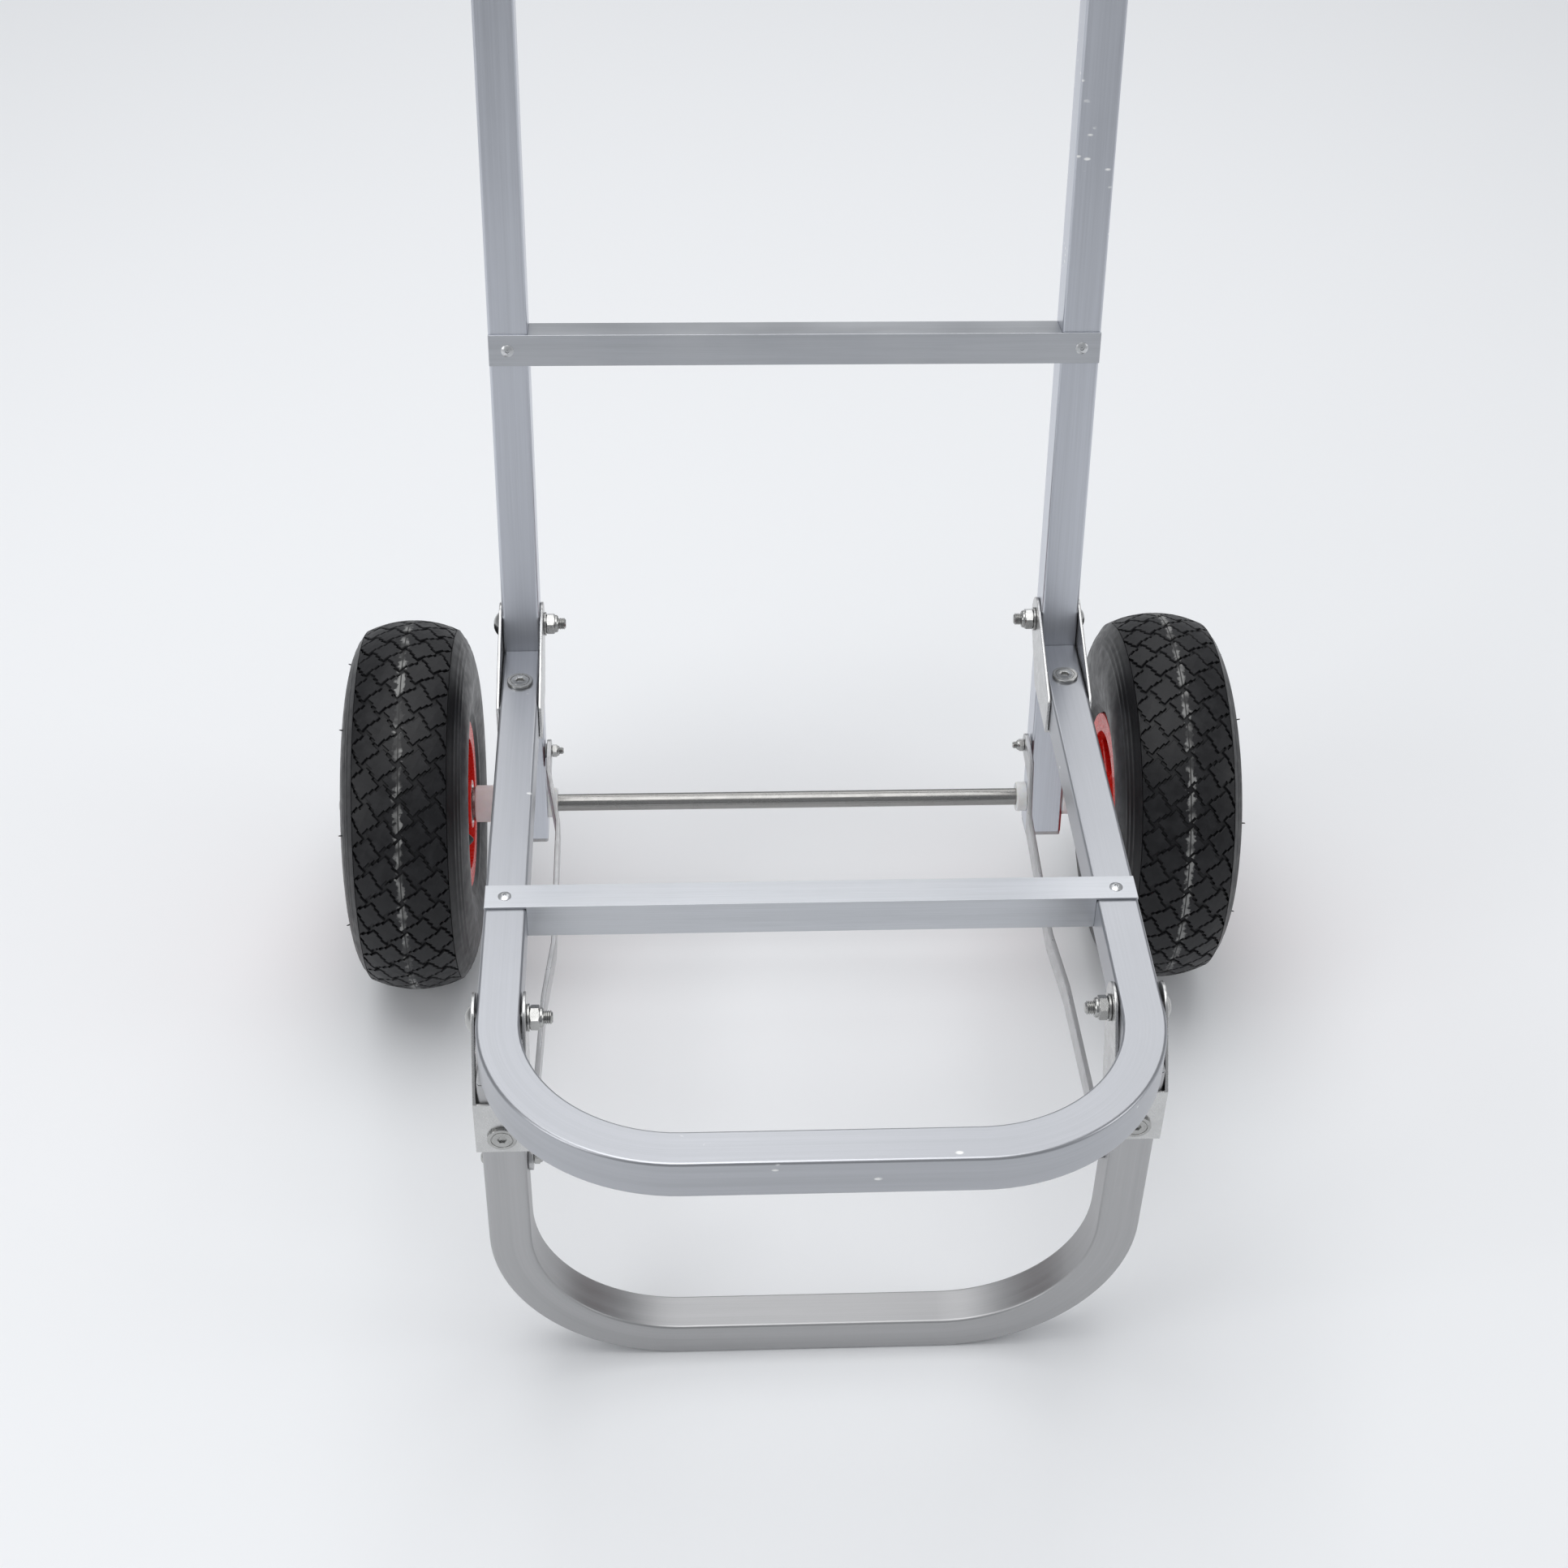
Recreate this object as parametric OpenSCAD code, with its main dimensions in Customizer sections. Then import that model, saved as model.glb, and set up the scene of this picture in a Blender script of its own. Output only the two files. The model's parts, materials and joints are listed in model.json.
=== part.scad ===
// Folding hand truck of bent square aluminium tube.
// A U-shaped platform and a U-shaped leg fold up against the handle; two flat struts keep the leg
// upright, so uprights, struts, platform and leg make a parallelogram on each side.
// X runs across the truck, Y points to the back, Z up. The floor is Z = 0.

/* [Tube] */
// Outer side of the square frame tube
tube = 25; // [20:1:30]
// Wall thickness of the frame tube
tube_wall = 1.5; // [1:0.1:2.5]
// Outer corner radius of the frame tube
tube_corner = 2; // [1.6:0.1:4]
// Overall width of all three bent frames
frame_width = 390; // [360:5:430]
// Radius of the frame bends, on the tube's centreline
bend_radius = 102.5; // [80:2.5:120]

/* [Handle] */
// Lean of the uprights back from vertical, degrees
lean = 10.1; // [8:0.1:12]
// Length of the uprights above the platform
upright_above = 855; // [600:5:1000]
// Length of the uprights below the platform
upright_below = 150; // [145:1:160]
// Height of the handle crossbar's middle above the platform, along the uprights
handle_bar_at = 214.5; // [150:0.5:400]
// Height of a crossbar's face
bar_height = 20.5; // [18:0.5:24]
// Depth of a crossbar, front to back
bar_depth = 22.5; // [18:0.5:24]
// Wall thickness of a crossbar
bar_wall = 1.5; // [1:0.1:2]

/* [Platform] */
// Length of the platform from the uprights to its front
platform_length = 479; // [440:1:520]
// Rise of the platform towards its front, degrees
rise = 3.2; // [2:0.1:5]
// Height of the platform's top at the uprights
platform_height = 258.3; // [255:0.1:262]
// Distance of the platform crossbar's middle from the uprights
platform_bar_at = 259.3; // [240:0.1:270]

/* [Hinges] */
// Height of the folding bolt above the platform, along the uprights
fold_pin_at = 14; // [13:0.5:16]
// Distance of the leg bolt from the uprights, along the platform
leg_pin_at = 350; // [345:1:354]
// Gap between the leg bolt and the leg tube's middle, front to back
leg_offset = 25.5; // [25:0.1:27]
// Distance from a hinge bolt down to the strut's bolt
strut_drop = 94.5; // [90:0.5:97]
// Distance from a hinge bolt forward to the strut's bolt
strut_forward = 21.5; // [20:0.5:23]
// Thickness of the bracket sheet
sheet = 2; // [1.5:0.1:2.5]
// Radius of a bracket ear around its bolt
ear_radius = 15; // [13:0.5:16]
// Length of a platform bracket's web
web_length = 55; // [50:1:60]
// Length of a leg bracket's web
leg_web_length = 40; // [36:1:50]

/* [Struts] */
// Width of the strut bar
strut_width = 16; // [14:0.5:17]
// Thickness of the strut bar
strut_thick = 3; // [2:0.5:3.5]

/* [Wheels] */
// Outer diameter of the tyre
tyre_diameter = 260; // [250:1:270]
// Width of the tyre
tyre_width = 85; // [80:1:88]
// Distance of a wheel's middle from the truck's middle
wheel_at = 262; // [258:1:270]
// Diameter of the axle
axle_diameter = 12; // [10:0.5:13]

/* [Hidden] */
$fn = 64;
tiny = 0.01;

side = [-1, 1];                          // left, right
gap = 0.3;                               // clearance between faces that move past each other
pin_play = 0.05;                         // radial clearance of a turning bolt in its hole
ear_bite = 0.1;                          // how far an ear's straight edges run inside its round end
rail_x = frame_width / 2 - tube / 2;     // middle of a frame's side tube

// The seam is where the uprights' front face meets the platform's top. The axle lies at Y = 0.
axle_z = tyre_diameter / 2;
axle_along = -(platform_height - axle_z) / cos(lean);
axle_off = tube / 2 + 0.3;
seam_y = -axle_along * sin(lean) - axle_off / cos(lean);
seam_z = platform_height;

// Turn a place in the uprights' or the platform's own axes into Y and Z of the truck
function on_upright(along, back) =
    [seam_y + along * sin(lean) + back * cos(lean), seam_z + along * cos(lean) - back * sin(lean)];
function on_platform(forward, up) =
    [seam_y - forward * cos(rise) + up * sin(rise), seam_z + forward * sin(rise) + up * cos(rise)];

fold_pin = on_upright(fold_pin_at, tube / 2);
leg_pin = on_platform(leg_pin_at, -tube / 2);
strut_shift = [-strut_forward, -strut_drop];
strut_rear = fold_pin + strut_shift;
strut_front = leg_pin + strut_shift;
leg_y = leg_pin[0] - leg_offset;         // middle of the leg tube
leg_end_drop = 15;                       // leg bolt down to the end of the leg tubes
leg_top = leg_pin[1] - leg_end_drop;

// The origin is on the floor in the middle of the truck's box
function tube_reach(turn) = (tube / 2 - tube_corner) * (cos(turn) + sin(turn)) + tube_corner;
front_most = on_platform(platform_length - tube / 2, -tube / 2)[0] - tube_reach(rise);
rear_most = on_upright(upright_above - tube / 2, tube / 2)[0] + tube_reach(lean);
origin_y = -(front_most + rear_most) / 2;

m8 = 8;
m8_head = 17;
m8_head_height = 4.5;
m8_nut_flats = 13;
m8_nut_height = 8;
m8_flat_head = 2;
m8_past_sheet = 9;                       // how far a bracket bolt stands past the sheet
hinge_past_ears = 14.5;                  // how far a hinge bolt stands past its ears
hinge_washer = 1.4;
hinge_washer_d = 16;
m5 = 5;
m5_head = 9;
m5_nut_flats = 8;
m5_nut_height = 5;
m6 = 6;
m6_head = 10;
m6_nut_flats = 10;
m6_nut_height = 6;
rivet_d = 4;
rivet_head_d = 8;
rivet_length = 8;
rivet_x = rail_x + 0.5;
plug_fit = 0.6;                          // how much smaller than the tube a plug's lid is
plug_depth = 8;
upright_lid = 3;
leg_lid = 1.5;
leg_ear_gap = 0.9;                       // the leg's ears also clear the start of the platform's bends
function ear_in(ear_gap) = frame_width / 2 - tube - ear_gap - sheet;   // inner face of the inner ear
function ear_out(ear_gap) = frame_width / 2 + ear_gap + sheet;         // outer face of the outer ear

bush_d = 16;
bush_flange_d = 21;
bush_flange = 7;
spacer_d = 26;
axle_washer = 2;
axle_washer_d = 24;
axle_past_wheel = 51;                    // wheel's middle to the axle's end
cap_d = 20;
cap_dome = 4;                            // height of a cap's domed end
cap_dome_r = 10.25;
hub_inner = 39;                          // wheel's middle to the hub's inner end
hub_outer = 39;                          // wheel's middle to the hub's outer end
spacer_end = wheel_at - hub_inner - axle_washer - gap;
outer_washer = wheel_at + hub_outer + gap;
cap_at = outer_washer + axle_washer;
axle_end = wheel_at + axle_past_wheel;

tyre_r = tyre_diameter / 2;
section_r = tyre_width / 2;
tyre_wall = 6;
inner_tube_wall = 2.5;
crown_r = 72;                            // radius of the tread across the tyre
side_r = 60;                             // radius of a side wall's bulge
side_at = 88;                            // distance of the tyre's widest place from the axle
barrel_r = 50;                           // the tyre's beads sit on the rim's barrel
flange_r = 59;
flange_in = 33.8;                        // wheel's middle to a flange's inner face
flange_thick = 3.5;
bead_in = 24;                            // wheel's middle to a bead's inner face
bead_top = 60;
hub_r = 17;
bearing_r = 14;
bearing_length = 12;
rim_wall = 4;                            // wall of a rim half's barrel
rim_floor = 5;                           // thickness of a rim half's web
rim_rib = 4;
rim_bolt_circle = 32;
rim_bolts_n = 5;

// --- Placing -------------------------------------------------------------------------------

module place() { translate([0, origin_y, 0]) children(); }

// Local Z runs up along the uprights and local Y straight back from their front face
module on_handle() { place() translate([0, seam_y, seam_z]) rotate([-lean, 0, 0]) children(); }

// Local -Y runs forward along the platform and local Z straight up from its top
module on_deck() { place() translate([0, seam_y, seam_z]) rotate([-rise, 0, 0]) children(); }

// Along X through a point given as Y and Z
module across(p, x) { place() translate([x, p[0], p[1]]) rotate([0, 90, 0]) children(); }

// --- Shared shapes -------------------------------------------------------------------------

module rounded_square(a, r) {
    square([a, a - 2 * r], center = true);
    square([a - 2 * r, a], center = true);
    for (x = side, y = side) translate([x * (a / 2 - r), y * (a / 2 - r)]) circle(r, $fn = 32);
}

module tube_section() {
    difference() {
        rounded_square(tube, tube_corner);
        rounded_square(tube - 2 * tube_wall, tube_corner - tube_wall + tiny);
    }
}

// A U of square tube in the XY plane: open at Y = 0, its closed end at Y = -reach
module u_frame(reach) {
    straight = reach - bend_radius - tube / 2;
    corner_x = rail_x - bend_radius;
    for (x = side) translate([x * rail_x, 0, 0]) rotate([90, 0, 0])
        linear_extrude(straight) tube_section();
    for (x = [0, 1]) mirror([x, 0, 0]) translate([corner_x, -straight, 0]) rotate([0, 0, -90])
        rotate_extrude(angle = 90, $fn = 128) translate([bend_radius, 0]) tube_section();
    translate([-corner_x, -straight - bend_radius, 0]) rotate([90, 0, 90])
        linear_extrude(2 * corner_x) tube_section();
}

// A crossbar in its own axes: X across, Z up its face, Y into the truck; the face is at Y = -bar_wall
module crossbar() {
    inside = frame_width - 2 * tube;
    difference() {
        union() {
            translate([-inside / 2, -bar_wall, -bar_height / 2]) cube([inside, bar_depth, bar_height]);
            translate([-frame_width / 2, -bar_wall, -bar_height / 2])
                cube([frame_width, bar_wall, bar_height]);
        }
        translate([-inside / 2 - 1, 0, -bar_height / 2 + bar_wall])
            cube([inside + 2, bar_depth - 2 * bar_wall, bar_height - 2 * bar_wall]);
        for (x = side) translate([x * rivet_x, 1, 0]) rotate([90, 0, 0])
            cylinder(d = rivet_d, h = bar_wall + 2, $fn = 32);
    }
}

// Blind rivets through both ends of a crossbar, in the crossbar's axes
module crossbar_rivets() {
    for (x = side) translate([x * rivet_x, -bar_wall, 0]) rotate([90, 0, 0]) difference() {
        union() {
            intersection() {
                translate([0, 0, -4.5]) sphere(6, $fn = 48);
                cylinder(d = rivet_head_d, h = 2);
            }
            translate([0, 0, -rivet_length]) cylinder(d = rivet_d, h = rivet_length + tiny, $fn = 32);
        }
        translate([0, 0, 0.4]) cylinder(d = 2.2, h = 3, $fn = 24);
    }
}

module rivet_holes(depth) {
    for (x = side) translate([x * rivet_x, -1, 0]) rotate([-90, 0, 0])
        cylinder(d = rivet_d, h = depth, $fn = 32);
}

// A low round-headed bolt along Z: the head's seat is at Z = 0, the shank runs down
module round_bolt(d, length, head_d, head_h) {
    dome = (head_d * head_d / 4 + head_h * head_h) / (2 * head_h);
    difference() {
        union() {
            intersection() {
                translate([0, 0, head_h - dome]) sphere(dome, $fn = 64);
                cylinder(d = head_d, h = head_h + 1);
            }
            translate([0, 0, -length]) cylinder(d = d, h = length + tiny);
        }
        translate([0, 0, head_h * 0.45]) cylinder(d = d * 0.62 / cos(30), h = head_h, $fn = 6);
    }
}

// A flat-headed bolt along Z with a socket, seat at Z = 0
module flat_bolt(d, length, head_d, head_h) {
    difference() {
        union() {
            cylinder(d = head_d, h = head_h);
            translate([0, 0, -length]) cylinder(d = d, h = length + tiny);
        }
        translate([0, 0, head_h * 0.3]) cylinder(d = d * 0.62, h = head_h, $fn = 6);
    }
}

// A lock nut along Z from Z = 0 up: the hexagon and its nylon collar
module lock_nut(d, flats, h) {
    difference() {
        union() {
            cylinder(d = flats / cos(30), h = h * 0.72, $fn = 6);
            cylinder(d = flats * 0.92, h = h, $fn = 48);
        }
        translate([0, 0, -1]) cylinder(d = d, h = h + 2);
    }
}

module washer(d, outer, h) {
    difference() {
        cylinder(d = outer, h = h);
        translate([0, 0, -1]) cylinder(d = d, h = h + 2);
    }
}

// Point where a tangent from p meets the circle of radius r about c; turn is 1 or -1
function tangent_point(p, c, r, turn) =
    let (v = c - p, far = norm(v), swing = turn * asin(r / far), near = sqrt(far * far - r * r))
    p + near / far * [v[0] * cos(swing) - v[1] * sin(swing), v[0] * sin(swing) + v[1] * cos(swing)];

// --- Handle --------------------------------------------------------------------------------

module handle_frame() color("silver") difference() {
    on_handle() translate([0, tube / 2, -upright_below]) rotate([-90, 0, 0])
        u_frame(upright_below + upright_above);
    on_handle() translate([0, 0, handle_bar_at]) rivet_holes(1 + tube_wall + 1);
    for (x = side) {
        across(fold_pin, x * rail_x) cylinder(d = m8, h = tube + 2, center = true);
        across(strut_rear, x * rail_x) cylinder(d = m5, h = tube + 2, center = true);
        across([0, axle_z], x * rail_x) cylinder(d = bush_d, h = tube + 2, center = true);
    }
}

module handle_crossbar() color("silver")
    on_handle() translate([0, 0, handle_bar_at]) crossbar();
module handle_crossbar_rivets() color("gainsboro")
    on_handle() translate([0, 0, handle_bar_at]) crossbar_rivets();

module plug_lid() { rounded_square(tube - plug_fit, tube_corner); }
module plug_body() { rounded_square(tube - 2 * tube_wall, 0.5 + tiny); }

// Push-in plugs that close the lower ends of the uprights
module upright_plugs() color("silver") for (x = side)
    on_handle() translate([x * rail_x, tube / 2, -upright_below]) {
        translate([0, 0, -upright_lid]) linear_extrude(upright_lid) plug_lid();
        linear_extrude(plug_depth) plug_body();
    }

module axle() color("gray")
    across([0, axle_z], 0) cylinder(d = axle_diameter, h = 2 * axle_end, center = true);

// Flanged nylon bush that carries the axle in one upright
module axle_bush(x) color("ivory")
    across([0, axle_z], x * (frame_width / 2 - tube)) mirror([0, 0, x < 0 ? 1 : 0]) difference() {
        union() {
            translate([0, 0, -bush_flange]) cylinder(d = bush_flange_d, h = bush_flange);
            cylinder(d = bush_d, h = tube);
        }
        translate([0, 0, -bush_flange - 1]) cylinder(d = axle_diameter, h = tube + bush_flange + 2);
    }
module left_axle_bush() axle_bush(-1);
module right_axle_bush() axle_bush(1);

module wheel_spacer(x) color("mistyrose")
    across([0, axle_z], x * frame_width / 2) mirror([0, 0, x < 0 ? 1 : 0])
        washer(axle_diameter, spacer_d, spacer_end - frame_width / 2);
module left_wheel_spacer() wheel_spacer(-1);
module right_wheel_spacer() wheel_spacer(1);

// Steel washers on both sides of each wheel
module axle_washers() color("lightgray") for (x = side) {
    across([0, axle_z], x * (spacer_end + axle_washer / 2)) translate([0, 0, -axle_washer / 2])
        washer(axle_diameter, axle_washer_d, axle_washer);
    across([0, axle_z], x * (outer_washer + axle_washer / 2)) translate([0, 0, -axle_washer / 2])
        washer(axle_diameter, axle_washer_d, axle_washer);
}

// Domed push-on caps that hold the wheels
module axle_caps() color("lightgray") for (x = side)
    across([0, axle_z], x * cap_at) mirror([0, 0, x < 0 ? 1 : 0]) difference() {
        union() {
            cylinder(d = cap_d, h = axle_end - cap_at - cap_dome);
            translate([0, 0, axle_end - cap_at - cap_dome]) intersection() {
                translate([0, 0, -2.25]) sphere(cap_dome_r);
                cylinder(d = cap_d, h = cap_dome_r);
            }
        }
        translate([0, 0, -1]) cylinder(d = axle_diameter, h = axle_end - cap_at + 1);
    }

// --- Hinge bolts ---------------------------------------------------------------------------

// M8 bolts through both ears: heads outside, nuts inside
module hinge_bolts(p, ear_gap) for (x = side)
    across(p, x * (ear_out(ear_gap) + gap)) mirror([0, 0, x < 0 ? 1 : 0])
        round_bolt(
            m8, ear_out(ear_gap) - ear_in(ear_gap) + 2 * gap + hinge_past_ears, m8_head, m8_head_height);
module hinge_washers(p, ear_gap) for (x = side)
    across(p, x * (ear_in(ear_gap) - gap)) mirror([0, 0, x > 0 ? 1 : 0])
        washer(m8, hinge_washer_d, hinge_washer);
module hinge_nuts(p, ear_gap) for (x = side)
    across(p, x * (ear_in(ear_gap) - gap - hinge_washer)) mirror([0, 0, x > 0 ? 1 : 0])
        lock_nut(m8, m8_nut_flats, m8_nut_height);

module fold_bolts() color("lightgray") hinge_bolts(fold_pin, gap);
module fold_washers() color("lightgray") hinge_washers(fold_pin, gap);
module fold_nuts() color("lightgray") hinge_nuts(fold_pin, gap);

strut_x = frame_width / 2 - tube - 1.3 - strut_thick;   // inner face of a strut's rear end
strut_face = strut_x + strut_thick;       // its outer face

// Small bolts that carry the struts on the uprights: heads outside, nuts inside
module strut_bolts() color("lightgray") for (x = side)
    across(strut_rear, x * frame_width / 2) mirror([0, 0, x < 0 ? 1 : 0])
        round_bolt(m5, frame_width / 2 - strut_x + gap + 8, m5_head, 2.5);
module strut_washers() color("ivory") for (x = side)
    across(strut_rear, x * (frame_width / 2 - tube)) mirror([0, 0, x > 0 ? 1 : 0])
        washer(m5, 10, frame_width / 2 - tube - strut_face - gap);
module strut_nuts() color("lightgray") for (x = side)
    across(strut_rear, x * (strut_x - gap)) mirror([0, 0, x > 0 ? 1 : 0])
        lock_nut(m5, m5_nut_flats, m5_nut_height);

// --- Platform ------------------------------------------------------------------------------

bracket_bolt_at = 37;

module platform_frame() color("silver") difference() {
    on_deck() translate([0, 0, -tube / 2]) u_frame(platform_length);
    // the rear ends are cut to the slope of the uprights
    on_handle() translate([-frame_width, -gap, -100]) cube([2 * frame_width, 100, 200]);
    on_deck() translate([0, -platform_bar_at, 0]) rotate([-90, 0, 0]) rivet_holes(1 + tube_wall + 1);
    for (x = side) {
        across(leg_pin, x * rail_x) cylinder(d = m8, h = tube + 2, center = true);
        on_deck() translate([x * rail_x, -bracket_bolt_at, -tube - 1]) cylinder(d = m8, h = tube + 2);
    }
}

module platform_crossbar() color("silver")
    on_deck() translate([0, -platform_bar_at, 0]) rotate([-90, 0, 0]) crossbar();
module platform_crossbar_rivets() color("gainsboro")
    on_deck() translate([0, -platform_bar_at, 0]) rotate([-90, 0, 0]) crossbar_rivets();

// A pressed U bracket: two ears around a bolt, joined by a web. The outline lies in Y and Z.
module bracket(x, pin, outline, web_low, web_high, ear_gap) translate([x * rail_x, 0, 0]) difference() {
    union() {
        for (ear = [-tube / 2 - ear_gap - sheet, tube / 2 + ear_gap])
            translate([ear, 0, 0]) rotate([90, 0, 90]) linear_extrude(sheet) union() {
                polygon(outline);
                translate(pin) circle(ear_radius);
            }
        translate([-tube / 2 - ear_gap - sheet, web_low[0], web_low[1]])
            cube([tube + 2 * ear_gap + 2 * sheet, web_high[0] - web_low[0], web_high[1] - web_low[1]]);
    }
    translate([0, pin[0], pin[1]]) rotate([0, 90, 0])
        cylinder(r = m8 / 2 + pin_play, h = 2 * tube, center = true);
}

// The folding bolt in the platform's own axes
function in_deck(p) = let (v = p - [seam_y, seam_z])
    [v[0] * cos(rise) - v[1] * sin(rise), v[0] * sin(rise) + v[1] * cos(rise)];
deck_pin = in_deck(fold_pin);
web_rear = -9;
deck_low = [web_rear - web_length, -tube - sheet];
deck_high = [web_rear, -tube];
deck_outline = [
    tangent_point([deck_low[0], 0], deck_pin, ear_radius - ear_bite, 1),
    [deck_low[0] + 3, 0],
    [deck_low[0], -3],
    deck_low,
    [deck_high[0], deck_low[1]],
    tangent_point([deck_high[0], deck_low[1]], deck_pin, ear_radius - ear_bite, -1),
    deck_pin
];

module platform_bracket(x) color("gainsboro") on_deck() difference() {
    bracket(x, deck_pin, deck_outline, deck_low, deck_high, gap);
    translate([x * rail_x, -bracket_bolt_at, -tube - sheet - 1]) cylinder(d = m8, h = sheet + 2);
}
module left_platform_bracket() platform_bracket(-1);
module right_platform_bracket() platform_bracket(1);

module platform_bracket_bolts() color("gainsboro") for (x = side)
    on_deck() translate([x * rail_x, -bracket_bolt_at, 0])
        flat_bolt(m8, tube + sheet + m8_past_sheet, m8_head, m8_flat_head);
module platform_bracket_nuts() color("lightgray") for (x = side)
    on_deck() translate([x * rail_x, -bracket_bolt_at, -tube - sheet]) mirror([0, 0, 1])
        lock_nut(m8, m8_nut_flats, m8_nut_height);

module leg_bolts() color("lightgray") hinge_bolts(leg_pin, leg_ear_gap);
module leg_washers() color("lightgray") hinge_washers(leg_pin, leg_ear_gap);
module leg_nuts() color("lightgray") hinge_nuts(leg_pin, leg_ear_gap);

// --- Leg -----------------------------------------------------------------------------------

leg_web_top = leg_pin[1] - 29;           // level of the web's upper edge
leg_web_low = leg_web_top - leg_web_length;
leg_front = leg_y - tube / 2;
leg_bolt_z = leg_web_low + m8_head / 2 + 4;

module leg_frame() color("silver") difference() {
    place() translate([0, leg_y, leg_top]) rotate([90, 0, 0]) u_frame(leg_top);
    for (x = side) {
        across(strut_front, x * rail_x) cylinder(d = m5, h = tube + 2, center = true);
        place() translate([x * rail_x, leg_y, leg_bolt_z]) rotate([90, 0, 0])
            cylinder(d = m8, h = tube + 2, center = true);
    }
}

leg_outline = [
    tangent_point([leg_front - sheet, leg_web_top], leg_pin, ear_radius - ear_bite, 1),
    [leg_front - sheet, leg_web_top],
    [leg_front - sheet, leg_web_low],
    [leg_front + tube - 3, leg_web_low],
    [leg_front + tube, leg_web_low + 3],
    tangent_point([leg_front + tube, leg_web_low + 3], leg_pin, ear_radius - ear_bite, -1),
    leg_pin
];

module leg_bracket(x) color("gainsboro") place() difference() {
    bracket(x, leg_pin, leg_outline, [leg_front - sheet, leg_web_low], [leg_front, leg_web_top], leg_ear_gap);
    translate([x * rail_x, leg_front + 1, leg_bolt_z]) rotate([90, 0, 0]) cylinder(d = m8, h = sheet + 2);
}
module left_leg_bracket() leg_bracket(-1);
module right_leg_bracket() leg_bracket(1);

module leg_bracket_bolts() color("gainsboro") for (x = side) place()
    translate([x * rail_x, leg_front - sheet, leg_bolt_z]) rotate([90, 0, 0])
        flat_bolt(m8, tube + sheet + m8_past_sheet, m8_head, m8_flat_head);
module leg_bracket_nuts() color("lightgray") for (x = side) place()
    translate([x * rail_x, leg_front + tube, leg_bolt_z]) rotate([-90, 0, 0])
        lock_nut(m8, m8_nut_flats, m8_nut_height);

// Push-in plugs that close the upper ends of the leg tubes
module leg_plugs() color("silver") for (x = side) place() translate([x * rail_x, leg_y, leg_top]) {
    linear_extrude(leg_lid) plug_lid();
    translate([0, 0, -plug_depth]) linear_extrude(plug_depth) plug_body();
}

strut_screw_length = tube + gap + strut_thick + gap + 6;
// Small screws that carry the struts on the leg: heads outside, nuts inside
module strut_screws() color("lightgray") for (x = side)
    across(strut_front, x * frame_width / 2) mirror([0, 0, x < 0 ? 1 : 0])
        round_bolt(m5, strut_screw_length, m5_head, 3.3);
module strut_screw_nuts() color("lightgray") for (x = side)
    across(strut_front, x * (frame_width / 2 - tube - 2 * gap - strut_thick)) mirror([0, 0, x > 0 ? 1 : 0])
        lock_nut(m5, m5_nut_flats, m5_nut_height);

// --- Struts --------------------------------------------------------------------------------

strut_run = strut_rear[0] - strut_front[0];
strut_slope = atan2(strut_rear[1] - strut_front[1], strut_run);
strut_length = norm(strut_rear - strut_front);
end_past = strut_width / 2;
front_face = frame_width / 2 - tube - gap;      // outer face of the strut's front end
bow_face = strut_face - 8;                      // outer face of the middle stretch, clear of the axle bush
set_at = front_face - 4;                        // outer face where the front stretch starts

// The strut's side view from above: X across, Y along it from the rear bolt to the front bolt
function strut_path() = [
    [strut_face, end_past],
    [strut_face, -28],
    [bow_face, -82],
    [bow_face, -195],
    [set_at, -242],
    [front_face, -strut_length + 10],
    [front_face, -strut_length - end_past]
];

module strut(x) color("gainsboro")
    place() translate([0, strut_rear[0], strut_rear[1]]) rotate([strut_slope, 0, 0])
    mirror([x < 0 ? 1 : 0, 0, 0]) difference() {
        translate([0, 0, -strut_width / 2]) linear_extrude(strut_width)
            polygon(concat(
                strut_path(),
                [for (i = [len(strut_path()) - 1:-1:0]) strut_path()[i] - [strut_thick, 0]]));
        for (y = [0, -strut_length]) translate([0, y, 0]) rotate([0, 90, 0])
            cylinder(r = m5 / 2 + gap, h = 400);
        // both ends are rounded about their holes
        for (y = [0, -strut_length]) translate([100, y, 0]) rotate([0, 90, 0]) difference() {
            cube([2 * strut_width, 2 * strut_width, 200], center = true);
            cylinder(d = strut_width, h = 400, center = true);
            translate([-strut_width, y == 0 ? -3 * strut_width : 0, -200])
                cube([2 * strut_width, 3 * strut_width, 400]);
        }
    }
module left_strut() strut(-1);
module right_strut() strut(1);

// --- Wheels --------------------------------------------------------------------------------

// A wheel in its own axes: Z along the axle, pointing to the outer side
module wheel_frame(x) across([0, axle_z], x * wheel_at) mirror([0, 0, x < 0 ? 1 : 0]) children();

// The tyre's section, with X away from the axle: a flat crown and two bulging side walls
module tyre_section(inset) intersection() {
    translate([tyre_r - crown_r, 0]) circle(crown_r - inset, $fn = 128);
    translate([side_at, section_r - side_r]) circle(side_r - inset, $fn = 128);
    translate([side_at, side_r - section_r]) circle(side_r - inset, $fn = 128);
}

// The space inside the tyre, over the rim's barrel and between the beads
module air_space(inset, clear) difference() {
    tyre_section(inset);
    translate([0, -section_r]) square([barrel_r + clear, tyre_width]);
    for (s = side) translate([0, s > 0 ? bead_in - clear : -section_r])
        square([bead_top + clear, section_r - bead_in + clear]);
}

module tyre(x) color([0.1, 0.1, 0.11]) wheel_frame(x) rotate_extrude($fn = 128) difference() {
    tyre_section(0);
    air_space(tyre_wall, 0);
    translate([0, -section_r]) square([barrel_r, tyre_width]);
    translate([0, -bead_in]) square([barrel_r + 2, 2 * bead_in]);
    for (s = side) translate([0, s > 0 ? flange_in : -section_r])
        square([flange_r, section_r - flange_in]);
}

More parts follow.
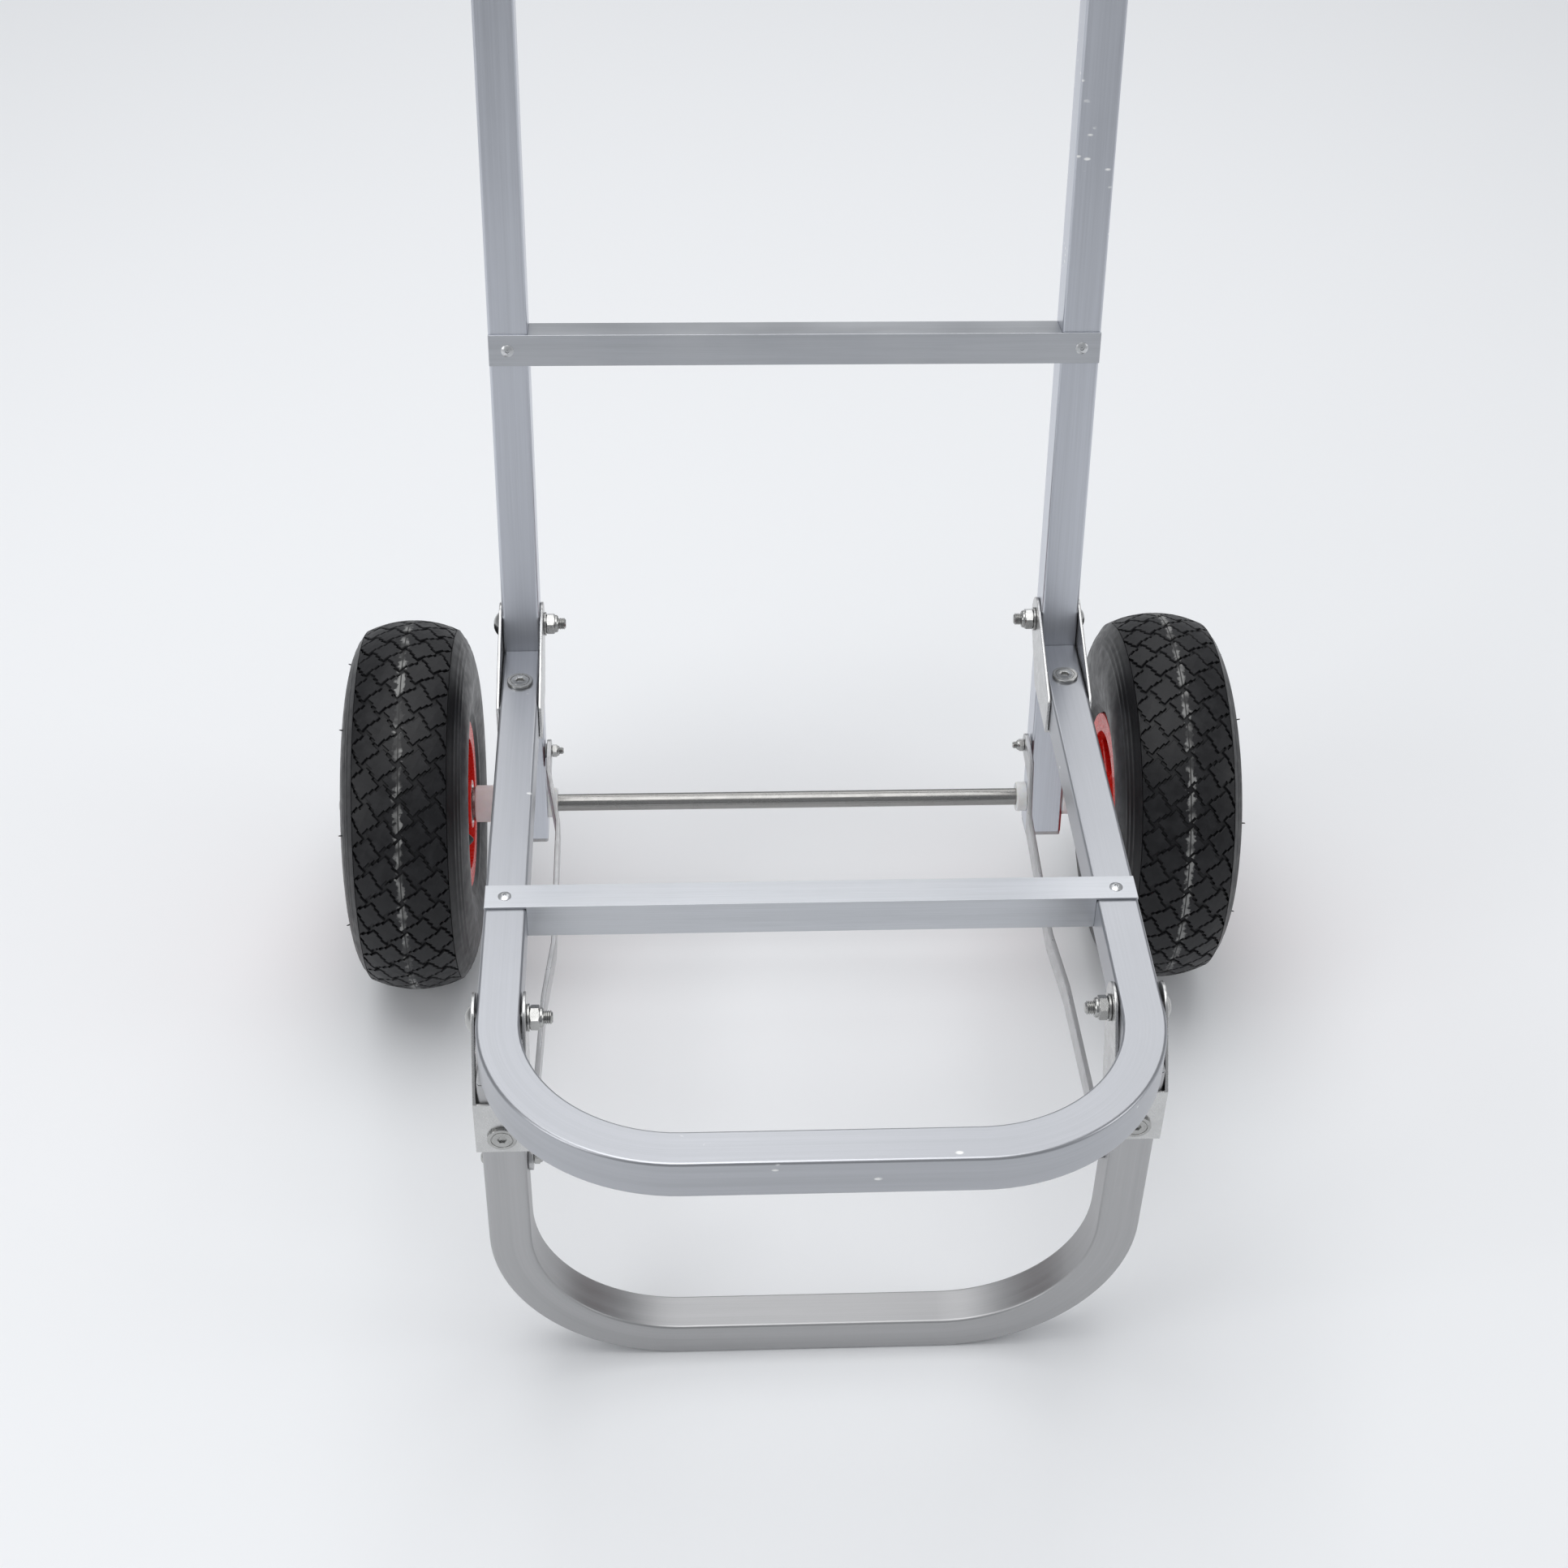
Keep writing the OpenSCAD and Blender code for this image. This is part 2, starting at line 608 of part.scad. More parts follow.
module inner_tube(x) color([0.2, 0.2, 0.2]) wheel_frame(x) rotate_extrude($fn = 96) difference() {
    air_space(tyre_wall + gap, gap);
    air_space(tyre_wall + gap + inner_tube_wall, gap + inner_tube_wall);
}

// One moulded half of the rim: hub sleeve, web with ribs, barrel and flange; the split is at Z = 0
module rim_half(hub_length) difference() {
    union() {
        cylinder(r = hub_r, h = hub_length);
        cylinder(r = barrel_r, h = rim_floor);
        difference() {
            cylinder(r = barrel_r, h = flange_in + flange_thick);
            translate([0, 0, -1]) cylinder(r = barrel_r - rim_wall, h = flange_in + flange_thick + 2);
        }
        difference() {
            translate([0, 0, flange_in]) cylinder(r = flange_r, h = flange_thick);
            cylinder(r = barrel_r - 1, h = flange_in + flange_thick + 1);
        }
        for (i = [0:rim_bolts_n - 1]) rotate([0, 0, (i + 0.5) * 360 / rim_bolts_n])
            translate([hub_r - 2, -rim_rib / 2, 0])
                cube([barrel_r - rim_wall - hub_r + 4, rim_rib, flange_in - 2]);
    }
    translate([0, 0, -1]) cylinder(d = axle_diameter + 3, h = hub_length + 2);
    translate([0, 0, hub_length - bearing_length]) cylinder(r = bearing_r, h = bearing_length + 1);
    for (i = [0:rim_bolts_n - 1]) rotate([0, 0, i * 360 / rim_bolts_n])
        translate([rim_bolt_circle, 0, -1]) cylinder(d = m6, h = rim_floor + 2);
}

valve_d = 9;
valve_neck_d = 7.5;
valve_turn = 306;
valve_tilt = 44;
valve_inward = 12;                       // wheel's middle to where the valve crosses the barrel
valve_root = 3.8;                        // the valve starts clear of the inner tube
valve_base = 12;
valve_length = 37;

// Places the valve's axes: Z from the rim barrel towards the hub, leaning to the wheel's inner side
module valve_frame() rotate([0, 0, valve_turn]) translate([barrel_r, 0, -valve_inward])
    rotate([0, -90 - valve_tilt, 0]) children();

module inner_rim(x) color([0.78, 0.05, 0.04]) wheel_frame(x) difference() {
    mirror([0, 0, 1]) rim_half(hub_inner);
    valve_frame() translate([0, 0, -valve_base]) cylinder(d = valve_d, h = valve_base + 10);
}
module outer_rim(x) color([0.78, 0.05, 0.04]) wheel_frame(x) rim_half(hub_outer);

module bearings(x) color("lightgray") wheel_frame(x)
    for (z = [-hub_inner, hub_outer - bearing_length]) translate([0, 0, z])
        washer(axle_diameter + 2 * pin_play, 2 * bearing_r, bearing_length);

module rim_bolts(x) color("lightgray") wheel_frame(x) for (i = [0:rim_bolts_n - 1])
    rotate([0, 0, i * 360 / rim_bolts_n]) translate([rim_bolt_circle, 0, rim_floor])
        round_bolt(m6, 20, m6_head, 3);
module rim_nuts(x) color("lightgray") wheel_frame(x) for (i = [0:rim_bolts_n - 1])
    rotate([0, 0, i * 360 / rim_bolts_n]) translate([rim_bolt_circle, 0, -rim_floor]) mirror([0, 0, 1])
        lock_nut(m6, m6_nut_flats, m6_nut_height);

module valve(x) color([0.08, 0.08, 0.08]) wheel_frame(x) valve_frame() union() {
    translate([0, 0, valve_root]) cylinder(d = valve_d, h = valve_base - valve_root, $fn = 32);
    translate([0, 0, valve_base]) cylinder(d = valve_neck_d, h = valve_length - valve_base, $fn = 32);
}

module left_tyre() tyre(-1);
module left_inner_tube() inner_tube(-1);
module left_inner_rim() inner_rim(-1);
module left_outer_rim() outer_rim(-1);
module left_bearings() bearings(-1);
module left_rim_bolts() rim_bolts(-1);
module left_rim_nuts() rim_nuts(-1);
module left_valve() valve(-1);
module right_tyre() tyre(1);
module right_inner_tube() inner_tube(1);
module right_inner_rim() inner_rim(1);
module right_outer_rim() outer_rim(1);
module right_bearings() bearings(1);
module right_rim_bolts() rim_bolts(1);
module right_rim_nuts() rim_nuts(1);
module right_valve() valve(1);

handle_frame();
handle_crossbar();
handle_crossbar_rivets();
upright_plugs();
axle();
left_axle_bush();
right_axle_bush();
left_wheel_spacer();
right_wheel_spacer();
axle_washers();
axle_caps();
fold_bolts();
fold_washers();
fold_nuts();
strut_bolts();
strut_washers();
strut_nuts();
platform_frame();
platform_crossbar();
platform_crossbar_rivets();
left_platform_bracket();
right_platform_bracket();
platform_bracket_bolts();
platform_bracket_nuts();
leg_bolts();
leg_washers();
leg_nuts();
leg_frame();
left_leg_bracket();
right_leg_bracket();
leg_bracket_bolts();
leg_bracket_nuts();
leg_plugs();
strut_screws();
strut_screw_nuts();
left_strut();
right_strut();
left_tyre();
left_inner_tube();
left_inner_rim();
left_outer_rim();
left_bearings();
left_rim_bolts();
left_rim_nuts();
left_valve();
right_tyre();
right_inner_tube();
right_inner_rim();
right_outer_rim();
right_bearings();
right_rim_bolts();
right_rim_nuts();
right_valve();
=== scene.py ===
import json
import math

import bmesh
import bpy
from mathutils import Matrix, Vector

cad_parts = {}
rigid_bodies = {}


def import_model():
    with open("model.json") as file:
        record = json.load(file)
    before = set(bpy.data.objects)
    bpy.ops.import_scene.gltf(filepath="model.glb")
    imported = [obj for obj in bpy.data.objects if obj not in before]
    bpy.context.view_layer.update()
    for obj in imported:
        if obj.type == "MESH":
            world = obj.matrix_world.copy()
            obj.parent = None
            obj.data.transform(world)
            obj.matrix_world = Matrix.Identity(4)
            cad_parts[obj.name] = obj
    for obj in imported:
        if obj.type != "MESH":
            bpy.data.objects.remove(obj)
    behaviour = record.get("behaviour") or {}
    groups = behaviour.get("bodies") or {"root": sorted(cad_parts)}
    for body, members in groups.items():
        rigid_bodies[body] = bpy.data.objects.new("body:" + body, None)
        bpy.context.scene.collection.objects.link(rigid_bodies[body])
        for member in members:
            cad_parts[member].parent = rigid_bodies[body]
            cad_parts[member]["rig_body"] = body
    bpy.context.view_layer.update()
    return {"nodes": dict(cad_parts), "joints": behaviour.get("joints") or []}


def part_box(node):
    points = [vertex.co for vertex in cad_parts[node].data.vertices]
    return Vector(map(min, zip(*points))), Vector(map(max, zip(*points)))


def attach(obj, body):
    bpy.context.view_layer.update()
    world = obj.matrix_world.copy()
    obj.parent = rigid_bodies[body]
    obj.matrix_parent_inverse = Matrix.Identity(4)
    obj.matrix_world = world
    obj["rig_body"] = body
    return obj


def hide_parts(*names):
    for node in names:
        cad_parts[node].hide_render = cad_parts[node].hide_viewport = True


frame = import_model()
nodes = frame["nodes"]

# --- Camera and studio -------------------------------------------------------------------------
# The camera looks down on the truck from chest height, just left of its middle.
# The truck stands on a pale studio floor under large soft lights.
lens = 56.69
eye = Vector((-0.085969, -1.179088, 1.285358))
look_down, look_right, tilt = 0.711015, 0.062677, 0.027598
ahead = Vector((
    math.sin(look_right) * math.cos(look_down),
    math.cos(look_right) * math.cos(look_down),
    -math.sin(look_down)))
level = Vector((math.cos(look_right), -math.sin(look_right), 0))
upward = level.cross(ahead)
camera_x = level * math.cos(tilt) + upward * math.sin(tilt)
camera_y = upward * math.cos(tilt) - level * math.sin(tilt)

camera = bpy.data.objects.new("camera", bpy.data.cameras.new("camera"))
camera.data.lens = lens
camera.data.sensor_width = 36
camera.data.clip_end = 60
camera.matrix_world = Matrix.Translation(eye) @ Matrix((camera_x, camera_y, -ahead)).transposed().to_4x4()
bpy.context.scene.collection.objects.link(camera)
bpy.context.scene.camera = camera
bpy.context.scene.view_settings.view_transform = "Standard"


def soft_light(name, place, target, size, power):
    light = bpy.data.lights.new(name, "AREA")
    light.shape = "RECTANGLE"
    light.size, light.size_y = size
    light.energy = power
    lamp = bpy.data.objects.new(name, light)
    lamp.location = place
    lamp.rotation_euler = (Vector(target) - Vector(place)).to_track_quat("-Z", "Y").to_euler()
    bpy.context.scene.collection.objects.link(lamp)


soft_light("overhead_softbox", (-0.3, 0.1, 2.9), (0, 0, 0.2), (2.6, 2.2), 42)
soft_light("left_softbox", (-2.6, -1.3, 1.7), (0, 0, 0.4), (1.4, 1.8), 18)
soft_light("right_softbox", (2.8, -0.6, 1.5), (0, 0, 0.4), (1.2, 1.6), 11)
soft_light("back_softbox", (0.2, 2.9, 2.7), (0, 0, 0.3), (2.8, 1.7), 20)

world = bpy.data.worlds.new("studio")
world.use_nodes = True
world.node_tree.nodes["Background"].inputs["Color"].default_value = (0.80, 0.82, 0.85, 1)
world.node_tree.nodes["Background"].inputs["Strength"].default_value = 0.48
bpy.context.scene.world = world


def node(tree, kind, inputs=None, **settings):
    """Adds a node; inputs maps a socket's name or number to a value or to another node's socket."""
    made = tree.nodes.new(kind)
    for key, value in settings.items():
        setattr(made, key, value)
    for key, value in (inputs or {}).items():
        if isinstance(value, bpy.types.NodeSocket):
            tree.links.new(value, made.inputs[key])
        else:
            made.inputs[key].default_value = value
    return made


def new_finish(name, colour, roughness, metallic=0.0):
    """A material with one shader. Returns it, its tree, its shader and the piece's own coordinates."""
    made = bpy.data.materials.new(name)
    made.use_nodes = True
    made.diffuse_color = (*colour, 1)
    tree = made.node_tree
    shader = tree.nodes["Principled BSDF"]
    shader.inputs["Base Color"].default_value = (*colour, 1)
    shader.inputs["Metallic"].default_value = metallic
    shader.inputs["Roughness"].default_value = roughness
    return made, tree, shader, node(tree, "ShaderNodeTexCoord").outputs["Object"]


def calc(tree, operation, first, second=0.0):
    """One maths node; first and second are numbers or other nodes' sockets."""
    return node(tree, "ShaderNodeMath", {0: first, 1: second}, operation=operation).outputs[0]


def blend(tree, first, second, share):
    """Adds share of first to the rest of second."""
    return calc(tree, "ADD", calc(tree, "MULTIPLY", first, share), calc(tree, "MULTIPLY", second, 1 - share))


def grain(tree, place, scale, detail=2.0, rough=0.5):
    """Noise round 0.5 with spots about 1 / scale metres across."""
    return node(tree, "ShaderNodeTexNoise", {
        "Vector": place, "Scale": scale, "Detail": detail, "Roughness": rough}).outputs["Fac"]


def graded(tree, value, low, high, start, end):
    """Spreads value from low..high over start..end, and holds it there."""
    return node(tree, "ShaderNodeMapRange", {
        "Value": value, "From Min": low, "From Max": high, "To Min": start, "To Max": end}).outputs["Result"]


def spread(tree, noise, start, end):
    """Spreads the usual range of a noise over start..end."""
    return graded(tree, noise, 0.3, 0.7, start, end)


def between(tree, mask, first, second):
    """Colour that goes from first to second with the mask; each is a colour or a socket."""
    mix = node(tree, "ShaderNodeMix", {"Factor": mask}, data_type="RGBA")
    ends = [socket for socket in mix.inputs if socket.type == "RGBA"]
    for socket, value in zip(ends, (first, second)):
        if isinstance(value, bpy.types.NodeSocket):
            tree.links.new(value, socket)
        else:
            socket.default_value = (*value, 1)
    return next(socket for socket in mix.outputs if socket.type == "RGBA")


def raised(tree, shader, height, depth, strength, under=None):
    """Bumps of this depth in metres, on top of the bumps under them."""
    inputs = {"Height": height, "Distance": depth, "Strength": strength}
    if under is not None:
        inputs["Normal"] = under
    bump = node(tree, "ShaderNodeBump", inputs)
    tree.links.new(bump.outputs["Normal"], shader.inputs["Normal"])
    return bump.outputs["Normal"]


floor_size = 16
floor_finish, tree, shader, place = new_finish("studio_floor", (0.90, 0.91, 0.925), roughness=0.75)
tree.links.new(spread(tree, grain(tree, place, 3), 0.72, 0.8), shader.inputs["Roughness"])
shape = bmesh.new()
bmesh.ops.create_grid(shape, x_segments=2, y_segments=2, size=floor_size / 2)
floor_mesh = bpy.data.meshes.new("studio_floor")
shape.to_mesh(floor_mesh)
shape.free()
floor_mesh.materials.append(floor_finish)
studio_floor = bpy.data.objects.new("studio_floor", floor_mesh)
bpy.context.scene.collection.objects.link(studio_floor)

# --- Bent frames -------------------------------------------------------------------------------
# Handle, platform and leg are each one length of extruded square aluminium tube, bent twice on a
# draw bender. The metal is bare, with die lines along the tube and small handling marks.
tube = 0.025
frame_width = 0.390
bend_radius = 0.1025
rail_x = frame_width / 2 - tube / 2
bend_at = rail_x - bend_radius
rise = math.radians(3.2)
lean = math.radians(10.1)
fold_pin_up, fold_pin_back = 0.014, tube / 2
joints = {joint["name"]: joint for joint in frame["joints"]}
up_the_handle = Vector((0, math.sin(lean), math.cos(lean)))
back_of_handle = Vector((0, math.cos(lean), -math.sin(lean)))
fold_pin = Vector(joints["platform_fold"]["pos_m"])
fold_pin.x = 0
seam = fold_pin - fold_pin_up * up_the_handle - fold_pin_back * back_of_handle
leg_low, leg_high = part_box("leg_frame")
leg_top = Vector((0, (leg_low.y + leg_high.y) / 2, leg_high.z))
fine_depth = 0.00003


def tube_metal(name, origin, turn, straight, tone, marks=None, dull=0.0):
    """Bare extruded aluminium: die lines run along the tube and round its bends. In the tube's own
    axes the open ends are at Y = 0 and the bends start at Y = -straight. Marks are the colour of the
    knocks, how seldom they come (0 to 1), and the stretches of those axes that they keep to."""
    made, tree, shader, place = new_finish(name, (0.66, 0.67, 0.69), metallic=1.0, roughness=0.33)
    own = node(tree, "ShaderNodeMapping", {"Vector": place, "Location": origin, "Rotation": turn},
               vector_type="TEXTURE").outputs["Vector"]
    parts = node(tree, "ShaderNodeSeparateXYZ", {0: own}).outputs
    past_side = calc(tree, "SUBTRACT", calc(tree, "ABSOLUTE", parts["X"]), bend_at)
    past_straight = calc(tree, "SUBTRACT", calc(tree, "MULTIPLY", parts["Y"], -1), straight)
    reach = node(tree, "ShaderNodeCombineXYZ", {
        0: calc(tree, "MAXIMUM", past_side, 0.0), 1: calc(tree, "MAXIMUM", past_straight, 0.0)}).outputs[0]
    across = node(tree, "ShaderNodeVectorMath", {0: reach}, operation="LENGTH").outputs["Value"]
    drift_along = 0.012
    drift = calc(tree, "MULTIPLY", calc(tree, "ADD", parts["X"], parts["Y"]), drift_along)
    lines = node(tree, "ShaderNodeCombineXYZ", {0: across, 1: parts["Z"], 2: drift}).outputs[0]
    fine = grain(tree, lines, 900, 3, 0.65)
    both = blend(tree, grain(tree, lines, 170), fine, 0.55)
    cloudy = grain(tree, place, 9, 3)
    # tone is the frame's base colour and carries that frame's painted light and shade; dark, pale and palest
    # vary it at random along the die lines.
    dark, pale, palest = [tuple(share * c for c in tone) for share in (0.93, 1.06, 1.12)]
    colour = between(tree, graded(tree, both, 0.36, 0.64, 0, 1), dark, pale)
    colour = between(tree, graded(tree, cloudy, 0.42, 0.72, 0, 0.35), colour, palest)
    if marks:
        knocks, seldom, where = marks
        wide = node(tree, "ShaderNodeMapping", {"Vector": place, "Scale": (0.55, 1, 1.3)}).outputs["Vector"]
        spots = node(tree, "ShaderNodeTexVoronoi", {"Vector": wide, "Scale": 150, "Randomness": 1.0})
        spot = graded(tree, spots.outputs["Distance"], 0.15, 0.23, 1, 0)
        patches = graded(tree, grain(tree, place, 38), seldom, seldom + 0.04, 0, 1)
        spot = calc(tree, "MULTIPLY", spot, patches)
        fade = 0.004
        for axis, *ends in where:
            for end, before, after in zip(ends, (0, 1), (1, 0)):
                inside = graded(tree, parts[axis], end - fade, end + fade, before, after)
                spot = calc(tree, "MULTIPLY", spot, inside)
        colour = between(tree, spot, colour, knocks)
        tree.links.new(graded(tree, spot, 0, 1, 1, 0.1), shader.inputs["Metallic"])
    tree.links.new(colour, shader.inputs["Base Color"])
    shine = calc(tree, "ADD", spread(tree, both, 0.29, 0.38), spread(tree, cloudy, dull - 0.02, dull + 0.04))
    tree.links.new(shine, shader.inputs["Roughness"])
    raised(tree, shader, fine, fine_depth, 0.4)
    return made


def coat(name, finish):
    """Puts one finish on a CAD node."""
    mesh = nodes[name].data
    mesh.materials.clear()
    mesh.materials.append(finish)
    for face in mesh.polygons:
        face.material_index = 0


upright_above = 0.855
platform_length = 0.479
worn_white = (0.93, 0.93, 0.92)
# The three frames are the same bare aluminium, but each has its own base tone: the handle's is lighter and
# bluer, the platform's darker, the leg's darker and warmer. These differences are painted light and shade,
# set to how each frame looks under the lamps. The die lines, clouds and knocks on top of them are the metal's
# own.
handle_metal = tube_metal(
    "handle_tube_metal", seam, (math.radians(-90) - lean, 0, 0), upright_above - tube / 2 - bend_radius,
    (0.63, 0.65, 0.70), marks=(worn_white, 0.50, (("X", 0.160, 0.20), ("Y", -0.52, -0.26))))
platform_metal = tube_metal(
    "platform_tube_metal", seam, (-rise, 0, 0), platform_length - tube / 2 - bend_radius,
    (0.44, 0.45, 0.475), marks=(worn_white, 0.67, ()))
leg_metal = tube_metal(
    "leg_tube_metal", leg_top, (math.radians(90), 0, 0), leg_top.z - tube / 2 - bend_radius,
    (0.45, 0.45, 0.455), dull=0.1)
coat("handle_frame", handle_metal)
coat("platform_frame", platform_metal)
coat("leg_frame", leg_metal)


# --- Crossbars ---------------------------------------------------------------------------------
# Each is a rectangular aluminium tube cut so that only its front wall runs on over the two side
# tubes, where a blind rivet holds it. The die lines run along the bar, and its edges are deburred.
edge_angle, flat_angle = 32, 1.5
same_place = 0.00002


def fitted(name, mesh, finish, body, stands_for, place=None, crease=edge_angle):
    """Adds a finished piece to the truck. Its place goes into its mesh. Corners sharper than crease
    degrees stay sharp; with None the mesh keeps the shading it has."""
    if place is not None:
        mesh.transform(place)
    mesh.materials.clear()
    mesh.materials.append(finish)
    if crease:
        mesh.shade_smooth()
        mesh.set_sharp_from_angle(angle=math.radians(crease))
    made = bpy.data.objects.new(name, mesh)
    bpy.context.scene.collection.objects.link(made)
    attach(made, body)
    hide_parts(*stands_for)
    return made


def softened(name, width, finish):
    """A pressed, cut or moulded piece: the CAD node's shape with its edges broken by width. Its flat
    faces are merged first, and they keep their own normals, so that they don't look pillowed."""
    shape = bmesh.new()
    shape.from_mesh(nodes[name].data)
    bmesh.ops.remove_doubles(shape, verts=shape.verts, dist=same_place)
    bmesh.ops.dissolve_limit(
        shape, angle_limit=math.radians(flat_angle), verts=shape.verts, edges=shape.edges)
    sharp = bpy.data.meshes.new(name + "_sharp")
    shape.to_mesh(sharp)
    shape.free()
    made = bpy.data.objects.new(name + "_sharp", sharp)
    bpy.context.scene.collection.objects.link(made)
    bevel = made.modifiers.new("broken_edges", "BEVEL")
    bevel.width = width
    bevel.segments = 2
    bevel.limit_method = "ANGLE"
    bevel.angle_limit = math.radians(edge_angle)
    bevel.use_clamp_overlap = False
    sharp.shade_smooth()
    level_faces = made.modifiers.new("level_faces", "WEIGHTED_NORMAL")
    level_faces.weight = 100
    seen = made.evaluated_get(bpy.context.evaluated_depsgraph_get())
    mesh = bpy.data.meshes.new_from_object(seen)
    bpy.data.objects.remove(made)
    return fitted(name + "_piece", mesh, finish, nodes[name]["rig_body"], (name,), crease=None)


def bar_metal():
    """The tubes' metal, with die lines along the bar."""
    made, tree, shader, place = new_finish("crossbar_metal", (0.66, 0.67, 0.69), metallic=1.0, roughness=0.33)
    lines = node(tree, "ShaderNodeMapping", {"Vector": place, "Scale": (0.02, 1, 1)}).outputs["Vector"]
    fine = grain(tree, lines, 1100, 3, 0.65)
    both = blend(tree, grain(tree, lines, 210), fine, 0.5)
    cloudy = grain(tree, place, 14, 3)
    colour = between(tree, graded(tree, both, 0.36, 0.64, 0, 1), (0.51, 0.525, 0.55), (0.58, 0.595, 0.625))
    colour = between(tree, graded(tree, cloudy, 0.45, 0.7, 0, 0.4), colour, (0.64, 0.65, 0.67))
    tree.links.new(colour, shader.inputs["Base Color"])
    shine = calc(tree, "ADD", spread(tree, both, 0.30, 0.38), spread(tree, cloudy, -0.02, 0.05))
    tree.links.new(shine, shader.inputs["Roughness"])
    raised(tree, shader, fine, fine_depth, 0.4)
    return made


crossbar_metal = bar_metal()
for bar in ("handle_crossbar", "platform_crossbar"):
    softened(bar, 0.0003, crossbar_metal)

# --- Blind rivets ------------------------------------------------------------------------------
# Aluminium dome rivets, pulled from the front. The steel mandrel has broken off inside the head,
# which leaves a small dark hole with the stub at its bottom.
mm = 0.001


def turned(outline, steps=48, closed=False):
    """A shape turned about Z from (radius, height) pairs in mm. A third number cuts a hexagon that
    wide, and closed joins the last ring to the first."""
    shape = bmesh.new()
    rings = []
    for radius, height, *flats in outline:
        if radius == 0:
            rings.append([shape.verts.new((0, 0, height * mm))])
            continue
        ring = []
        for i in range(steps):
            angle = 2 * math.pi * i / steps
            reach = radius
            if flats:
                reach = min(reach, flats[0] / 2 / math.cos(angle % (math.pi / 3) - math.pi / 6))
            ring.append(shape.verts.new((
                reach * math.cos(angle) * mm, reach * math.sin(angle) * mm, height * mm)))
        rings.append(ring)
    neighbours = list(zip(rings, rings[1:]))
    if closed:
        neighbours.append((rings[-1], rings[0]))
    for low, high in neighbours:
        for i in range(steps):
            j = (i + 1) % steps
            corners = (low[i % len(low)], low[j % len(low)], high[j % len(high)], high[i % len(high)])
            shape.faces.new(list(dict.fromkeys(corners)))
    bmesh.ops.recalc_face_normals(shape, faces=shape.faces)
    mesh = bpy.data.meshes.new("turned")
    shape.to_mesh(mesh)
    shape.free()
    return mesh


def new_tree(name, *inputs):
    """A geometry tree with these inputs, each a label and a kind. Returns it and its input sockets."""
    tree = bpy.data.node_groups.new(name, "GeometryNodeTree")
    for label, kind in inputs:
        tree.interface.new_socket(label, in_out="INPUT", socket_type="NodeSocket" + kind)
    tree.interface.new_socket("Pieces", in_out="OUTPUT", socket_type="NodeSocketGeometry")
    return tree, tree.nodes.new("NodeGroupInput").outputs


def end_tree(tree, pieces, finish):
    """Ends a tree: everything made real, with its finish."""
    pieces = node(tree, "GeometryNodeRealizeInstances", {0: pieces}).outputs[0]
    pieces = node(tree, "GeometryNodeSetMaterial", {"Geometry": pieces, "Material": finish}).outputs[0]
    tree.links.new(pieces, tree.nodes.new("NodeGroupOutput").inputs[0])
    return tree


def set_out_tree():
    """Sets out like pieces: each is turned and stepped on from the one before it."""
    tree, given = new_tree("set_out", ("Piece", "Geometry"), ("Count", "Int"), ("Start", "Vector"),
                           ("Step", "Vector"), ("Turn", "Vector"), ("Finish", "Material"))
    index = node(tree, "GeometryNodeInputIndex").outputs[0]
    turn, step = [
        node(tree, "ShaderNodeVectorMath", {0: given[label], "Scale": index}, operation="SCALE").outputs[0]
        for label in ("Turn", "Step")]
    swung = node(tree, "ShaderNodeVectorRotate", {"Vector": given["Start"], "Rotation": turn},
                 rotation_type="EULER_XYZ").outputs[0]
    spot = node(tree, "ShaderNodeVectorMath", {0: swung, 1: step}, operation="ADD").outputs[0]
    points = node(tree, "GeometryNodeMeshLine", {"Count": given["Count"], "Offset": (0, 0, 0)}).outputs[0]
    points = node(tree, "GeometryNodeSetPosition", {"Geometry": points, "Position": spot}).outputs[0]
    heading = node(tree, "FunctionNodeEulerToRotation", {0: turn}).outputs[0]
    pieces = node(tree, "GeometryNodeInstanceOnPoints", {
        "Points": points, "Instance": given["Piece"], "Rotation": heading}).outputs[0]
    return end_tree(tree, pieces, given["Finish"])


def grown(tree, mesh, **given):
    """Runs a tree on a mesh with the given inputs, and returns the result as a plain mesh."""
    base = bpy.data.objects.new("base", mesh)
    bpy.context.scene.collection.objects.link(base)
    modifier = base.modifiers.new("grow", "NODES")
    modifier.node_group = tree
    for item in tree.interface.items_tree:
        if item.in_out == "INPUT" and item.name in given:
            modifier[item.identifier] = given[item.name]
    bpy.context.view_layer.update()
    made = bpy.data.meshes.new_from_object(base.evaluated_get(bpy.context.evaluated_depsgraph_get()))
    bpy.data.objects.remove(base)
    return made


set_out = set_out_tree()
no_move = (0.0, 0.0, 0.0)


def laid(mesh, finish, count, start, step=no_move, turn=no_move):
    """Like pieces set out by the tree: places and steps in metres, turns in radians."""
    return grown(set_out, mesh, Count=count, Start=start, Step=step, Turn=turn, Finish=finish)


def worn_metal(name, colour, roughness, mottle, streaks=(1, 1, 1)):
    """Plated or drawn metal with a cloudy surface and fine lines where streaks flattens an axis."""
    made, tree, shader, place = new_finish(name, colour, metallic=1.0, roughness=roughness)
    lines = node(tree, "ShaderNodeMapping", {"Vector": place, "Scale": streaks}).outputs["Vector"]
    fine = grain(tree, lines, 1300, 3, 0.6)
    tone = blend(tree, fine, grain(tree, place, 120, 3), 0.5)
    stain = graded(tree, tone, 0.35, 0.62, mottle, 0)
    dull = tuple(c * 0.72 for c in colour)
    tree.links.new(between(tree, stain, colour, dull), shader.inputs["Base Color"])
    tree.links.new(spread(tree, tone, roughness + 0.1, roughness - 0.06), shader.inputs["Roughness"])
    raised(tree, shader, fine, fine_depth, 0.5)
    return made


def domed(radius, height, inner, steps=7):
    """Points of a low dome from its rim in to the inner radius."""
    ball = (radius * radius + height * height) / (2 * height)
    reach = [radius + (inner - radius) * i / steps for i in range(steps + 1)]
    return [(r, height - ball + math.sqrt(ball * ball - r * r)) for r in reach]


